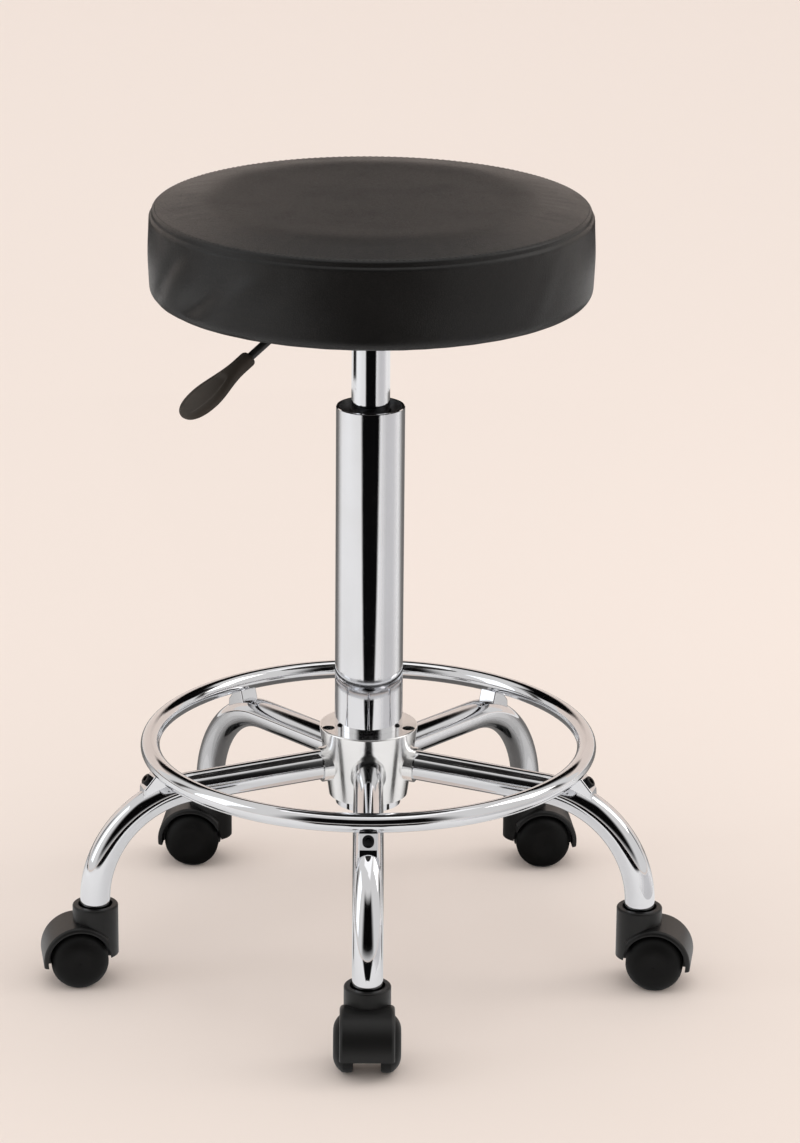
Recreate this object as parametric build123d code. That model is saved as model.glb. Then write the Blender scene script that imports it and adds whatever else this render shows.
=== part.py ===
from build123d import *
import math
import os

# Rolling stool: padded round seat on a gas lift, five bent tube legs, foot ring, twin wheel casters.
# Millimetres, Z up, origin on the floor under the column, front leg along minus Y.

# Seat
SEAT_DIAMETER = 320.0
SEAT_BOTTOM = 505.0
SEAT_THICKNESS = 70.0
CROWN_RISE = 6.0
SHOULDER_WIDTH = 34.0
SIDE_DRAW = 1.5
SIDE_SWELL_RADIUS = 180.0
SHOULDER_ROUND = 120.0
EDGE_ROUND = 7.0
BOTTOM_ROUND = 9.0
COVER_THICKNESS = 1.2
COVER_FLAP = 34.0
BOARD_THICKNESS = 12.0
BOARD_INSET = 12.0
DUST_COVER_THICKNESS = 0.6

# Seat plate and its fasteners
PLATE_SIDE = 130.0
PLATE_THICKNESS = 2.5
PLATE_CORNER = 14.0
DISH_RADIUS = 48.0
DISH_DEPTH = 14.0
DISH_SLOPE = 6.0
BOLT_PITCH = 100.0
BOLT_RADIUS = 3.0
BOLT_HEAD = 4.0
WASHER_RADIUS = 7.0
WASHER_THICKNESS = 1.6
NUT_FLANGE_RADIUS = 8.0
NUT_FLANGE_THICKNESS = 1.5
NUT_BARREL_RADIUS = 4.2
TAPER_SOCKET_RADIUS = 18.5
TAPER_SOCKET_LENGTH = 13.5
TAPER_REACH = 1.1

# Release lever
LEVER_AZIMUTH = -145.0
LEVER_ROD_RADIUS = 3.0
LEVER_PIN_GAP = 0.2
LEVER_HEIGHT = 6.6
LEVER_INNER_END = 9.0
LEVER_BEND = 68.0
LEVER_BEND_RADIUS = 15.0
LEVER_DROOP = 32.0
LEVER_PIVOT = 30.0
PIVOT_PIN_RADIUS = 2.0
PIVOT_BARREL_RADIUS = 4.5
PIVOT_BARREL_WIDTH = 10.6
EAR_THICKNESS = 2.5
EAR_WIDTH = 9.0
NOTCH_WIDTH = 12.0
GRIP_START = 43.0
GRIP_LENGTH = 66.0
GRIP_WIDTH = 30.0
GRIP_NECK = 12.0
GRIP_THICKNESS = 10.5
GRIP_ROD_DEPTH = 34.0

# Gas lift
CYLINDER_RADIUS = 14.0
CYLINDER_WALL = 1.5
CYLINDER_BOTTOM = 195.0
CYLINDER_TIP_RADIUS = 13.5
GLAND_LENGTH = 18.0
VALVE_LENGTH = 25.0
VALVE_RECESS = 2.6
RELEASE_PIN_RADIUS = 4.0
RELEASE_PIN_LENGTH = 20.0
ROD_RADIUS = 5.0
ROD_SPIGOT_RADIUS = 4.0
PISTON_BOTTOM = 272.0
PISTON_LENGTH = 16.0
SEAL_SECTION = 1.4
BUMP_LENGTH = 6.0
CLIP_THICKNESS = 1.2

# Thrust bearing on the column floor
RACE_RADIUS = 13.0
RACE_THICKNESS = 2.0
BALL_RADIUS = 2.5
BALL_CIRCLE_RADIUS = 8.8
BALL_COUNT = 8
CAGE_THICKNESS = 2.4

# Column
COLUMN_RADIUS = 25.0
COLUMN_WALL = 2.0
COLUMN_FOOT = 7.0
COLUMN_TOP = 422.0
COLUMN_FLOOR = 4.0
COLUMN_TAPER = 1.0
BUSH_RECESS = 3.5
BUSH_LENGTH = 88.0
BUSH_LAND = 20.0
BUSH_RELIEF = 1.5
BUSH_LEAD = 1.0

# Hub
HUB_BELOW_LEGS = 28.15
HUB_ABOVE_LEGS = 25.85
HUB_TOP_RADIUS = 36.5
HUB_BOTTOM_RADIUS = 29.0
HUB_ROUND = 1.0
SOCKET_RADIUS = 13.0
SOCKET_END = 37.5
WELL_CIRCLE_RADIUS = 30.9
WELL_RADIUS = 4.5
WELL_DEPTH = 11.0
LEG_SCREW_RADIUS = 2.5
LEG_SCREW_LENGTH = 24.0
LEG_SCREW_HEAD_RADIUS = 4.2
LEG_SCREW_HEAD = 5.0

# Legs
LEG_AZIMUTHS = {"front": -90.0, "right": -18.0, "back_right": 54.0, "back_left": 126.0, "left": 198.0}
LEG_RADIUS = 11.0
LEG_WALL = 1.5
LEG_CIRCLE_RADIUS = 210.0
LEG_BEND_RADIUS = 80.0
LEG_DROOP = 3.5
LEG_END = 55.0
LEG_FOOT = 8.05
LEG_INNER_END = 26.2
NUT_PLUG_LENGTH = 26.0

# Foot ring and its lugs
RING_RADIUS = 161.5
RING_TUBE = 7.0
RING_WALL = 1.2
RING_CLEAR = 6.9
RING_VENT_RADIUS = 1.5
LUG_WIDTH = 14.0
LUG_SEAT_OUT = 7.8
LUG_SEAT_DROP = 11.0
LUG_FACE_UP = 7.5
LUG_FACE_DOWN = 6.5
LUG_SCREW_RADIUS = 2.5
LUG_SCREW_LENGTH = 16.0
LUG_SCREW_HEAD_RADIUS = 4.2
LUG_SCREW_HEAD = 2.6
LUG_SCREW_TILT = 40.0

# Casters
CASTER_TRAIL = 13.0
CASTER_HEADINGS = {"front": -90.0, "right": -8.0, "back_right": 5.0, "back_left": 175.0, "left": 188.0}
WHEEL_RADIUS = 21.0
WHEEL_INNER = 9.8
WHEEL_TREAD = 16.8
WHEEL_OUTER = 24.0
WHEEL_FLAT = 9.0
WHEEL_RECESS = 8.0
WHEEL_HUB_RADIUS = 6.5
WHEEL_RIM = 3.0
AXLE_RADIUS = 3.0
AXLE_REACH = 20.0
HOOD_WEB = 9.0
HOOD_HALF_WIDTH = 19.5
HOOD_RADIUS = 26.5
HOOD_WALL = 3.4
HOOD_LIP_DROP = 4.0
HOOD_ROUND = 3.0
WEB_LOW = 12.5
COLLAR_RADIUS = 16.75
COLLAR_TOP = 59.5
COLLAR_ROUND = 1.5
CUP_RADIUS = 12.6
STEM_RADIUS = 5.5
STEM_PROTRUSION = 3.0
STEM_LOWER_RADIUS = 5.0
STEM_BOTTOM = 31.0
STEM_FLANGE_RADIUS = 9.0
STEM_FLANGE = 1.0
STEM_SNAP_RADIUS = 5.7
STEM_SNAP = 3.0
GRIP_RING_WIDTH = 4.0
GRIP_RING_DEPTH = 0.8
STEM_SOCKET_LENGTH = 17.0
STEM_SOCKET_FLANGE = 1.0

# Clearances and broken edges
RUNNING = 0.05
SLIP = 0.05
THREAD = 0.05
AXIAL = 0.3
EDGE_BREAK = 0.5

# Leg line and the heights that follow from the sizes above
LEG_SLOPE = math.radians(LEG_DROOP)
LEG_BEND_LOW = LEG_END + LEG_FOOT
LEG_CROWN_HEIGHT = LEG_BEND_LOW + LEG_BEND_RADIUS * math.cos(LEG_SLOPE)
LEG_BEND_CENTRE = LEG_CIRCLE_RADIUS - LEG_BEND_RADIUS
LEG_TANGENT = LEG_BEND_CENTRE + LEG_BEND_RADIUS * math.sin(LEG_SLOPE)
LEG_MEETING = LEG_CROWN_HEIGHT + LEG_TANGENT * math.tan(LEG_SLOPE)
LEG_TOP_AT_RING = LEG_BEND_LOW + math.sqrt(
    (LEG_BEND_RADIUS + LEG_RADIUS) ** 2 - max(0.0, RING_RADIUS - LEG_BEND_CENTRE) ** 2)
RING_HEIGHT = LEG_TOP_AT_RING + RING_CLEAR + RING_TUBE
HUB_BOTTOM = LEG_MEETING - HUB_BELOW_LEGS
HUB_TOP = LEG_MEETING + HUB_ABOVE_LEGS
COLUMN_BOTTOM = HUB_BOTTOM - COLUMN_FOOT
FLAT_RADIUS = SEAT_DIAMETER / 2 - SHOULDER_WIDTH
SEAT_TOP = SEAT_BOTTOM + SEAT_THICKNESS
BOARD_TOP = SEAT_BOTTOM + BOARD_THICKNESS
PLATE_TOP = SEAT_BOTTOM - DUST_COVER_THICKNESS
PLATE_UNDER = PLATE_TOP - PLATE_THICKNESS
DISH_FLOOR = PLATE_TOP - DISH_DEPTH
DISH_UNDER = DISH_FLOOR - PLATE_THICKNESS
TAPER_LOW = DISH_UNDER - TAPER_SOCKET_LENGTH
LEVER_AXIS = DISH_FLOOR + LEVER_HEIGHT
CYLINDER_TOP = DISH_FLOOR + TAPER_REACH
CYLINDER_BORE = CYLINDER_RADIUS - CYLINDER_WALL
PIN_TOP = LEVER_AXIS - LEVER_ROD_RADIUS - LEVER_PIN_GAP
FLOOR_TOP = COLUMN_BOTTOM + COLUMN_FLOOR
CAGE_MIDDLE = FLOOR_TOP + RACE_THICKNESS + RUNNING + BALL_RADIUS
UPPER_RACE = CAGE_MIDDLE + BALL_RADIUS + RUNNING
ROD_SHOULDER = UPPER_RACE + RACE_THICKNESS
CLIP_TOP = COLUMN_BOTTOM - 2 * AXIAL
LEG_BORE = LEG_RADIUS - LEG_WALL
AXLE_HEIGHT = WHEEL_RADIUS
CUP_FLOOR = LEG_END - STEM_SOCKET_FLANGE - STEM_FLANGE - AXIAL
STEM_SOCKET_TOP = LEG_END + STEM_SOCKET_LENGTH
STEM_TOP = STEM_SOCKET_TOP + STEM_PROTRUSION


def turned(points):
    """Solid turned about the Z axis from an outline of radius and height pairs."""
    return revolve(Plane.XZ * make_face(Polyline(*points, close=True)), Axis.Z)


def rod(radius, low, high, at=(0.0, 0.0)):
    """Upright round bar between two heights."""
    return Pos(at[0], at[1], low) * Cylinder(
        radius, high - low, align=(Align.CENTER, Align.CENTER, Align.MIN))


def pipe(outer, inner, low, high):
    """Upright tube between two heights."""
    return rod(outer, low, high) - rod(inner, low - 1, high + 1)


def bar(radius, start, end):
    """Round bar between two points in space."""
    along = Vector(*end) - Vector(*start)
    place = Plane(origin=start, z_dir=along)
    return place * Cylinder(radius, along.length, align=(Align.CENTER, Align.CENTER, Align.MIN))


def each_leg(shape):
    """One copy of a piece for every leg, turned about the column."""
    return Compound(children=[Rot(0, 0, azimuth) * shape for azimuth in LEG_AZIMUTHS.values()])


def save(shape, node):
    """Write one node."""
    export_step(shape, f"parts/{node}.step")


# Legs: every leg is drawn along plus X and turned to its azimuth.

def leg_axis_height(radius):
    """Height of the straight run of a leg at a distance from the column axis."""
    return LEG_CROWN_HEIGHT + (LEG_TANGENT - radius) * math.tan(LEG_SLOPE)


def leg_point(radius):
    """Point on the straight run of a leg."""
    return (radius, 0.0, leg_axis_height(radius))


def leg_bar(radius, inner_end, lower_end):
    """Solid bar along the line of a leg."""
    start = (inner_end, leg_axis_height(inner_end))
    corner = (LEG_CIRCLE_RADIUS, leg_axis_height(LEG_CIRCLE_RADIUS))
    path = Plane.XZ * FilletPolyline(start, corner, (LEG_CIRCLE_RADIUS, lower_end), radius=LEG_BEND_RADIUS)
    section = Plane(origin=path @ 0, z_dir=path % 0) * Circle(radius)
    return sweep(section, path)


def leg_screw_bar(radius, low, high):
    """Upright bar on the line of a leg screw."""
    return rod(radius, low, high, at=(WELL_CIRCLE_RADIUS, 0.0))


WELL_FLOOR = HUB_TOP - WELL_DEPTH
LEG_SCREW_TIP = WELL_FLOOR - LEG_SCREW_LENGTH


def lug_screw_frame():
    """Seat of a lug screw on the sloping face of a lug."""
    tilt = math.radians(LUG_SCREW_TILT)
    centre = (RING_RADIUS + LUG_SEAT_OUT, 0.0, RING_HEIGHT - LUG_SEAT_DROP)
    return Plane(origin=centre, x_dir=(0, 1, 0), z_dir=(math.cos(tilt), 0.0, math.sin(tilt)))


def lug_screw_bar(radius, low, high):
    """Bar on the line of a lug screw, heights measured from the screw seat."""
    return lug_screw_frame() * Pos(0, 0, low) * Cylinder(
        radius, high - low, align=(Align.CENTER, Align.CENTER, Align.MIN))


def leg():
    """Bent leg tube with the holes for its hub screw and lug screw."""
    tube = leg_bar(LEG_RADIUS, LEG_INNER_END, LEG_END) - leg_bar(LEG_BORE, LEG_INNER_END - 1, LEG_END - 1)
    tube -= leg_screw_bar(LEG_SCREW_RADIUS + SLIP, leg_axis_height(WELL_CIRCLE_RADIUS), HUB_TOP)
    return tube - lug_screw_bar(LUG_SCREW_RADIUS + SLIP, -LUG_SCREW_LENGTH - LUG_SCREW_HEAD, 0)


def nut_plug():
    """Threaded plug inside the inner end of a leg."""
    inner = LEG_INNER_END + EDGE_BREAK
    plug = bar(LEG_BORE - SLIP, leg_point(inner), leg_point(inner + NUT_PLUG_LENGTH))
    return plug - leg_screw_bar(LEG_SCREW_RADIUS + THREAD, LEG_SCREW_TIP - 2 * AXIAL, HUB_TOP)


def socket_screw(shank, head_radius, head, length):
    """Socket head screw standing on its seat at height zero."""
    screw = rod(shank, -length, 0) + rod(head_radius, 0, head)
    screw = chamfer(screw.edges().group_by(Axis.Z)[-1], 0.4)
    key = Pos(0, 0, 0.45 * head) * extrude(RegularPolygon(0.55 * head_radius, 6), head)
    return screw - key


def hub():
    """Tapered hub with leg sockets, screw wells and the bore for the column."""
    body = turned([(0, HUB_BOTTOM), (HUB_BOTTOM_RADIUS, HUB_BOTTOM), (HUB_TOP_RADIUS, HUB_TOP), (0, HUB_TOP)])
    body = fillet(body.edges().group_by(Axis.Z)[-1], HUB_ROUND)
    for azimuth in LEG_AZIMUTHS.values():
        body += Rot(0, 0, azimuth) * bar(SOCKET_RADIUS, leg_point(0), leg_point(SOCKET_END))
    body -= column_taper(SLIP)
    for azimuth in LEG_AZIMUTHS.values():
        body -= Rot(0, 0, azimuth) * bar(LEG_RADIUS + SLIP, leg_point(0), leg_point(SOCKET_END + LEG_RADIUS))
        body -= Rot(0, 0, azimuth) * leg_screw_bar(WELL_RADIUS, WELL_FLOOR, HUB_TOP + 1)
        body -= Rot(0, 0, azimuth) * leg_screw_bar(LEG_SCREW_RADIUS + SLIP, leg_axis_height(0), HUB_TOP)
    return body


# Column and gas lift

def column_taper(gap):
    """Outside of the column where it passes through the hub."""
    small = COLUMN_RADIUS - COLUMN_TAPER + gap
    large = COLUMN_RADIUS + gap
    low = COLUMN_BOTTOM - 1
    return turned([
        (0, low), (small, low), (small, HUB_BOTTOM), (large, HUB_TOP),
        (large, HUB_TOP + 2), (0, HUB_TOP + 2)])


def column_tube():
    """Outer tube with a tapered foot and a pierced floor."""
    small = COLUMN_RADIUS - COLUMN_TAPER
    bore = COLUMN_RADIUS - COLUMN_WALL
    foot_bore = small - COLUMN_WALL
    return turned([
        (ROD_SPIGOT_RADIUS + RUNNING, COLUMN_BOTTOM), (small, COLUMN_BOTTOM), (small, HUB_BOTTOM),
        (COLUMN_RADIUS, HUB_TOP), (COLUMN_RADIUS, COLUMN_TOP - EDGE_BREAK),
        (COLUMN_RADIUS - EDGE_BREAK, COLUMN_TOP),
        (bore, COLUMN_TOP), (bore, HUB_TOP), (foot_bore, HUB_BOTTOM), (foot_bore, FLOOR_TOP),
        (ROD_SPIGOT_RADIUS + RUNNING, FLOOR_TOP)])


def guide_bush():
    """Sleeve in the column mouth that guides the cylinder at both its ends."""
    top = COLUMN_TOP - BUSH_RECESS
    low = top - BUSH_LENGTH
    outer = COLUMN_RADIUS - COLUMN_WALL - SLIP
    land = CYLINDER_RADIUS + RUNNING
    relief = land + BUSH_RELIEF
    return turned([
        (land, low), (outer, low), (outer, top), (land + BUSH_LEAD, top), (land, top - BUSH_LEAD),
        (land, top - BUSH_LAND), (relief, top - BUSH_LAND - BUSH_RELIEF),
        (relief, low + BUSH_LAND + BUSH_RELIEF), (land, low + BUSH_LAND)])


def race(low):
    """Flat bearing race."""
    return pipe(RACE_RADIUS, ROD_SPIGOT_RADIUS + RUNNING, low, low + RACE_THICKNESS)


def ball_cage():
    """Flat ring with a pocket for every ball, and the balls in it."""
    low = CAGE_MIDDLE - CAGE_THICKNESS / 2
    cage = pipe(RACE_RADIUS - 0.4, ROD_SPIGOT_RADIUS + 0.6, low, low + CAGE_THICKNESS)
    places = PolarLocations(BALL_CIRCLE_RADIUS, BALL_COUNT)
    for place in places:
        cage -= Pos(0, 0, CAGE_MIDDLE) * place * Cylinder(BALL_RADIUS + RUNNING, 2 * CAGE_THICKNESS)
    balls = [Pos(0, 0, CAGE_MIDDLE) * place * Sphere(BALL_RADIUS) for place in places]
    return Compound(children=[cage] + balls)


def piston_rod():
    """Rod standing on the bearing, with a grooved spigot below and a riveted end above."""
    groove = ROD_SPIGOT_RADIUS - 0.8
    low = CLIP_TOP - CLIP_THICKNESS
    return turned([
        (0, low - 2), (ROD_SPIGOT_RADIUS, low - 2), (ROD_SPIGOT_RADIUS, low), (groove, low),
        (groove, CLIP_TOP), (ROD_SPIGOT_RADIUS, CLIP_TOP), (ROD_SPIGOT_RADIUS, ROD_SHOULDER),
        (ROD_RADIUS, ROD_SHOULDER),
        (ROD_RADIUS, PISTON_BOTTOM), (ROD_SPIGOT_RADIUS, PISTON_BOTTOM),
        (ROD_SPIGOT_RADIUS, PISTON_BOTTOM + PISTON_LENGTH + 1.5), (0, PISTON_BOTTOM + PISTON_LENGTH + 1.5)])


def rod_clip():
    """Open clip in the groove of the rod spigot."""
    low = CLIP_TOP - CLIP_THICKNESS
    inner = ROD_SPIGOT_RADIUS - 0.8 + SLIP
    clip = pipe(2 * ROD_SPIGOT_RADIUS, inner, low, CLIP_TOP)
    return clip - Pos(ROD_SPIGOT_RADIUS * 1.5, 0, CLIP_TOP) * Box(3 * ROD_SPIGOT_RADIUS, inner * 1.6, 4)


def bump_ring():
    """Rubber ring that the cylinder would land on."""
    low = ROD_SHOULDER
    return pipe(RACE_RADIUS - 1, ROD_RADIUS + SLIP, low, low + BUMP_LENGTH)


def piston():
    """Piston with a groove for its seal."""
    outer = CYLINDER_BORE - 0.3
    middle = PISTON_BOTTOM + PISTON_LENGTH / 2
    body = pipe(outer, ROD_SPIGOT_RADIUS + SLIP, PISTON_BOTTOM, PISTON_BOTTOM + PISTON_LENGTH)
    groove = pipe(CYLINDER_RADIUS, CYLINDER_BORE - 2 * SEAL_SECTION, middle - 2, middle + 2)
    return body - groove


def piston_seal():
    """Round section seal in the piston groove."""
    middle = PISTON_BOTTOM + PISTON_LENGTH / 2
    return Pos(0, 0, middle) * Torus(CYLINDER_BORE - SEAL_SECTION, SEAL_SECTION - RUNNING)


def gas_cylinder():
    """Plated cylinder with a tapered tip for the seat plate."""
    return turned([
        (CYLINDER_BORE, CYLINDER_BOTTOM), (CYLINDER_RADIUS - EDGE_BREAK, CYLINDER_BOTTOM),
        (CYLINDER_RADIUS, CYLINDER_BOTTOM + EDGE_BREAK), (CYLINDER_RADIUS, TAPER_LOW),
        (CYLINDER_TIP_RADIUS, CYLINDER_TOP), (CYLINDER_BORE, CYLINDER_TOP)])


def rod_gland():
    """Guide ring that closes the lower end of the cylinder round the rod."""
    return pipe(CYLINDER_BORE - SLIP, ROD_RADIUS + RUNNING, CYLINDER_BOTTOM, CYLINDER_BOTTOM + GLAND_LENGTH)


def valve_body():
    """Plug sunk in the tip of the cylinder, clear of the lever, that carries the release pin."""
    top = CYLINDER_TOP - VALVE_RECESS
    body = rod(CYLINDER_BORE - SLIP, top - VALVE_LENGTH, top)
    return body - rod(RELEASE_PIN_RADIUS + RUNNING, PIN_TOP - RELEASE_PIN_LENGTH - 5, CYLINDER_TOP + 1)


def release_pin():
    """Valve pin with a rounded head under the lever."""
    pin = rod(RELEASE_PIN_RADIUS, PIN_TOP - RELEASE_PIN_LENGTH, PIN_TOP)
    return fillet(pin.edges().group_by(Axis.Z)[-1], 0.7 * RELEASE_PIN_RADIUS)


# Seat: the plate and lever are drawn with the lever along plus X and turned to its azimuth.

def cushion(inset):
    """Crowned cushion form with drawn in sides, set in from the outside of the cover."""
    radius = SEAT_DIAMETER / 2 - inset
    low = SEAT_BOTTOM + inset
    top = SEAT_TOP - inset
    edge = top - CROWN_RISE
    outline = FilletPolyline(
        (0, low), (radius - SIDE_DRAW, low), (radius, (low + edge) / 2), (radius - SIDE_DRAW, edge),
        (FLAT_RADIUS, top), (0, top),
        radius=[BOTTOM_ROUND - inset, SIDE_SWELL_RADIUS, EDGE_ROUND - inset, SHOULDER_ROUND])
    return revolve(Plane.XZ * make_face(outline + Line((0, top), (0, low))), Axis.Z)


def board_outline(gap):
    """Round plywood board with a rebate for the turned in flap of the cover."""
    outer = SEAT_DIAMETER / 2 - BOARD_INSET
    flap = SEAT_DIAMETER / 2 - COVER_FLAP - gap
    step = SEAT_BOTTOM + COVER_THICKNESS
    return turned([
        (0, SEAT_BOTTOM), (flap, SEAT_BOTTOM), (flap, step), (outer, step),
        (outer, BOARD_TOP), (0, BOARD_TOP)])


def at_bolts(shape):
    """Copies of a piece at the four plate bolts."""
    places = GridLocations(BOLT_PITCH, BOLT_PITCH, 2, 2)
    return [Rot(0, 0, LEVER_AZIMUTH) * place * shape for place in places]


def seat_cover():
    """Upholstery skin with a flap turned in under the board."""
    opening = rod(SEAT_DIAMETER / 2 - COVER_FLAP, SEAT_BOTTOM - 1, SEAT_BOTTOM + 2 * COVER_THICKNESS)
    return cushion(0) - cushion(COVER_THICKNESS) - opening


def seat_foam():
    """Foam that fills the cover above and round the board."""
    return cushion(COVER_THICKNESS) - board_outline(0)


def seat_board():
    """Plywood board drilled for the tee nuts."""
    board = board_outline(SLIP)
    for nut in at_bolts(tee_nut_form(SLIP)):
        board -= nut
    return board


def tee_nut_form(gap):
    """Outside of a tee nut, let in flush with the top of the board."""
    flange = rod(NUT_FLANGE_RADIUS + gap, BOARD_TOP - NUT_FLANGE_THICKNESS, BOARD_TOP)
    return flange + rod(NUT_BARREL_RADIUS + gap, SEAT_BOTTOM, BOARD_TOP)


def tee_nut():
    """Tee nut with a through bore."""
    nut = rod(NUT_FLANGE_RADIUS, BOARD_TOP - NUT_FLANGE_THICKNESS, BOARD_TOP)
    nut += rod(NUT_BARREL_RADIUS, SEAT_BOTTOM + 2, BOARD_TOP)
    return nut - rod(BOLT_RADIUS + THREAD, SEAT_BOTTOM, BOARD_TOP + 1)


def dust_cover():
    """Thin cloth under the board, pierced for the bolts."""
    cloth = rod(SEAT_DIAMETER / 2 - COVER_FLAP / 2, PLATE_TOP, SEAT_BOTTOM)
    for hole in at_bolts(rod(BOLT_RADIUS + AXIAL, PLATE_TOP - 1, SEAT_BOTTOM + 1)):
        cloth -= hole
    return cloth


def seat_bolt():
    """Hexagon bolt up through the plate into its tee nut."""
    seat = PLATE_UNDER - WASHER_THICKNESS
    head = Pos(0, 0, seat - BOLT_HEAD) * extrude(RegularPolygon(2 * BOLT_RADIUS - 0.3, 6), BOLT_HEAD)
    return head + rod(BOLT_RADIUS, seat, BOARD_TOP - NUT_FLANGE_THICKNESS)


def seat_washer():
    """Flat washer under a bolt head."""
    return pipe(WASHER_RADIUS, BOLT_RADIUS + AXIAL, PLATE_UNDER - WASHER_THICKNESS, PLATE_UNDER)


def taper_bore():
    """Tapered hole for the cylinder tip."""
    return turned([
        (0, TAPER_LOW - 1), (CYLINDER_RADIUS + SLIP, TAPER_LOW - 1), (CYLINDER_RADIUS + SLIP, TAPER_LOW),
        (CYLINDER_TIP_RADIUS + SLIP, CYLINDER_TOP), (0, CYLINDER_TOP)])


def pivot_bar(radius, half_width):
    """Cross bar on the lever pivot."""
    return bar(radius, (LEVER_PIVOT, -half_width, LEVER_AXIS), (LEVER_PIVOT, half_width, LEVER_AXIS))


def seat_plate():
    """Pressed plate with a dish for the lever, two pivot ears and a notch where the lever leaves."""
    square = RectangleRounded(PLATE_SIDE, PLATE_SIDE, PLATE_CORNER)
    flange = Pos(0, 0, PLATE_UNDER) * extrude(square, PLATE_THICKNESS)
    flange -= rod(DISH_RADIUS, PLATE_UNDER - 1, PLATE_TOP + 1)
    floor_radius = DISH_RADIUS - DISH_SLOPE
    dish = turned([
        (0, DISH_UNDER), (floor_radius, DISH_UNDER), (DISH_RADIUS, PLATE_UNDER), (DISH_RADIUS, PLATE_TOP),
        (DISH_RADIUS - PLATE_THICKNESS, PLATE_TOP), (floor_radius - PLATE_THICKNESS, DISH_FLOOR),
        (0, DISH_FLOOR)])
    notch_height = DISH_DEPTH + PLATE_THICKNESS
    notch_start = LEVER_PIVOT + EAR_WIDTH
    notch = Pos(notch_start, 0, DISH_FLOOR) * Box(
        PLATE_SIDE, NOTCH_WIDTH, notch_height, align=(Align.MIN, Align.CENTER, Align.MIN))
    plate = flange + dish - notch - taper_bore()
    ear_middle = PIVOT_BARREL_WIDTH / 2 + AXIAL + EAR_THICKNESS / 2
    ear_height = LEVER_HEIGHT + PIVOT_BARREL_RADIUS
    for side in (-1, 1):
        plate += Pos(LEVER_PIVOT, side * ear_middle, DISH_FLOOR) * Box(
            EAR_WIDTH, EAR_THICKNESS, ear_height, align=(Align.CENTER, Align.CENTER, Align.MIN))
    plate -= pivot_bar(PIVOT_PIN_RADIUS + SLIP, PLATE_SIDE / 4)
    plate = Rot(0, 0, LEVER_AZIMUTH) * plate
    for hole in at_bolts(rod(BOLT_RADIUS + AXIAL, PLATE_UNDER - 1, PLATE_TOP + 1)):
        plate -= hole
    return plate


def taper_socket():
    """Short taper tube welded under the plate."""
    tube = rod(TAPER_SOCKET_RADIUS, TAPER_LOW, DISH_UNDER)
    tube = chamfer(tube.edges().group_by(Axis.Z)[0], 1.0)
    return tube - taper_bore()


def lever_pin():
    """Pivot pin of the lever in the plate ears."""
    return pivot_bar(PIVOT_PIN_RADIUS, PIVOT_BARREL_WIDTH / 2 + AXIAL + EAR_THICKNESS + 1.5)


def grip_frame():
    """Start of the grip on the drooping run of the lever, Z along the lever and X across it."""
    droop = math.radians(LEVER_DROOP)
    start = (LEVER_BEND + GRIP_START * math.cos(droop), 0.0, LEVER_AXIS - GRIP_START * math.sin(droop))
    return Plane(origin=start, x_dir=(0, 1, 0), z_dir=(math.cos(droop), 0.0, -math.sin(droop)))


def lever_rod():
    """Bent rod from over the valve pin to inside the grip, with its pivot barrel."""
    droop = math.radians(LEVER_DROOP)
    reach = GRIP_START + GRIP_ROD_DEPTH - 1
    end = (LEVER_BEND + reach * math.cos(droop), LEVER_AXIS - reach * math.sin(droop))
    path = Plane.XZ * FilletPolyline(
        (-LEVER_INNER_END, LEVER_AXIS), (LEVER_BEND, LEVER_AXIS), end, radius=LEVER_BEND_RADIUS)
    section = Plane(origin=path @ 0, z_dir=path % 0) * Circle(LEVER_ROD_RADIUS)
    lever = sweep(section, path) + pivot_bar(PIVOT_BARREL_RADIUS, PIVOT_BARREL_WIDTH / 2)
    return lever - pivot_bar(PIVOT_PIN_RADIUS + RUNNING, PIVOT_BARREL_WIDTH)


def lever_grip():
    """Moulded paddle with a narrow neck and a round end, lofted through oval sections."""
    neck = GRIP_NECK / 2
    wide = GRIP_WIDTH / 2
    thick = GRIP_THICKNESS / 2
    stations = [
        (0.0, neck, thick), (0.22, 0.96 * neck, thick), (0.45, 0.72 * wide, thick), (0.72, wide, thick),
        (0.90, 0.84 * wide, 0.9 * thick), (0.98, 0.44 * wide, 0.55 * thick), (1.0, 0.12 * wide, 0.15 * thick)]
    sections = [Pos(0, 0, share * GRIP_LENGTH) * Ellipse(across, deep) for share, across, deep in stations]
    hole = Pos(0, 0, -1) * Cylinder(
        LEVER_ROD_RADIUS + SLIP, GRIP_ROD_DEPTH + 1, align=(Align.CENTER, Align.CENTER, Align.MIN))
    return grip_frame() * (loft(sections) - hole)


# Foot ring

def foot_ring():
    """Hollow ring with a vent hole underneath."""
    tube = Torus(RING_RADIUS, RING_TUBE) - Torus(RING_RADIUS, RING_TUBE - RING_WALL)
    ring = Pos(0, 0, RING_HEIGHT) * tube
    return ring - rod(RING_VENT_RADIUS, RING_HEIGHT - 2 * RING_TUBE, RING_HEIGHT, at=(0.0, RING_RADIUS))


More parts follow.
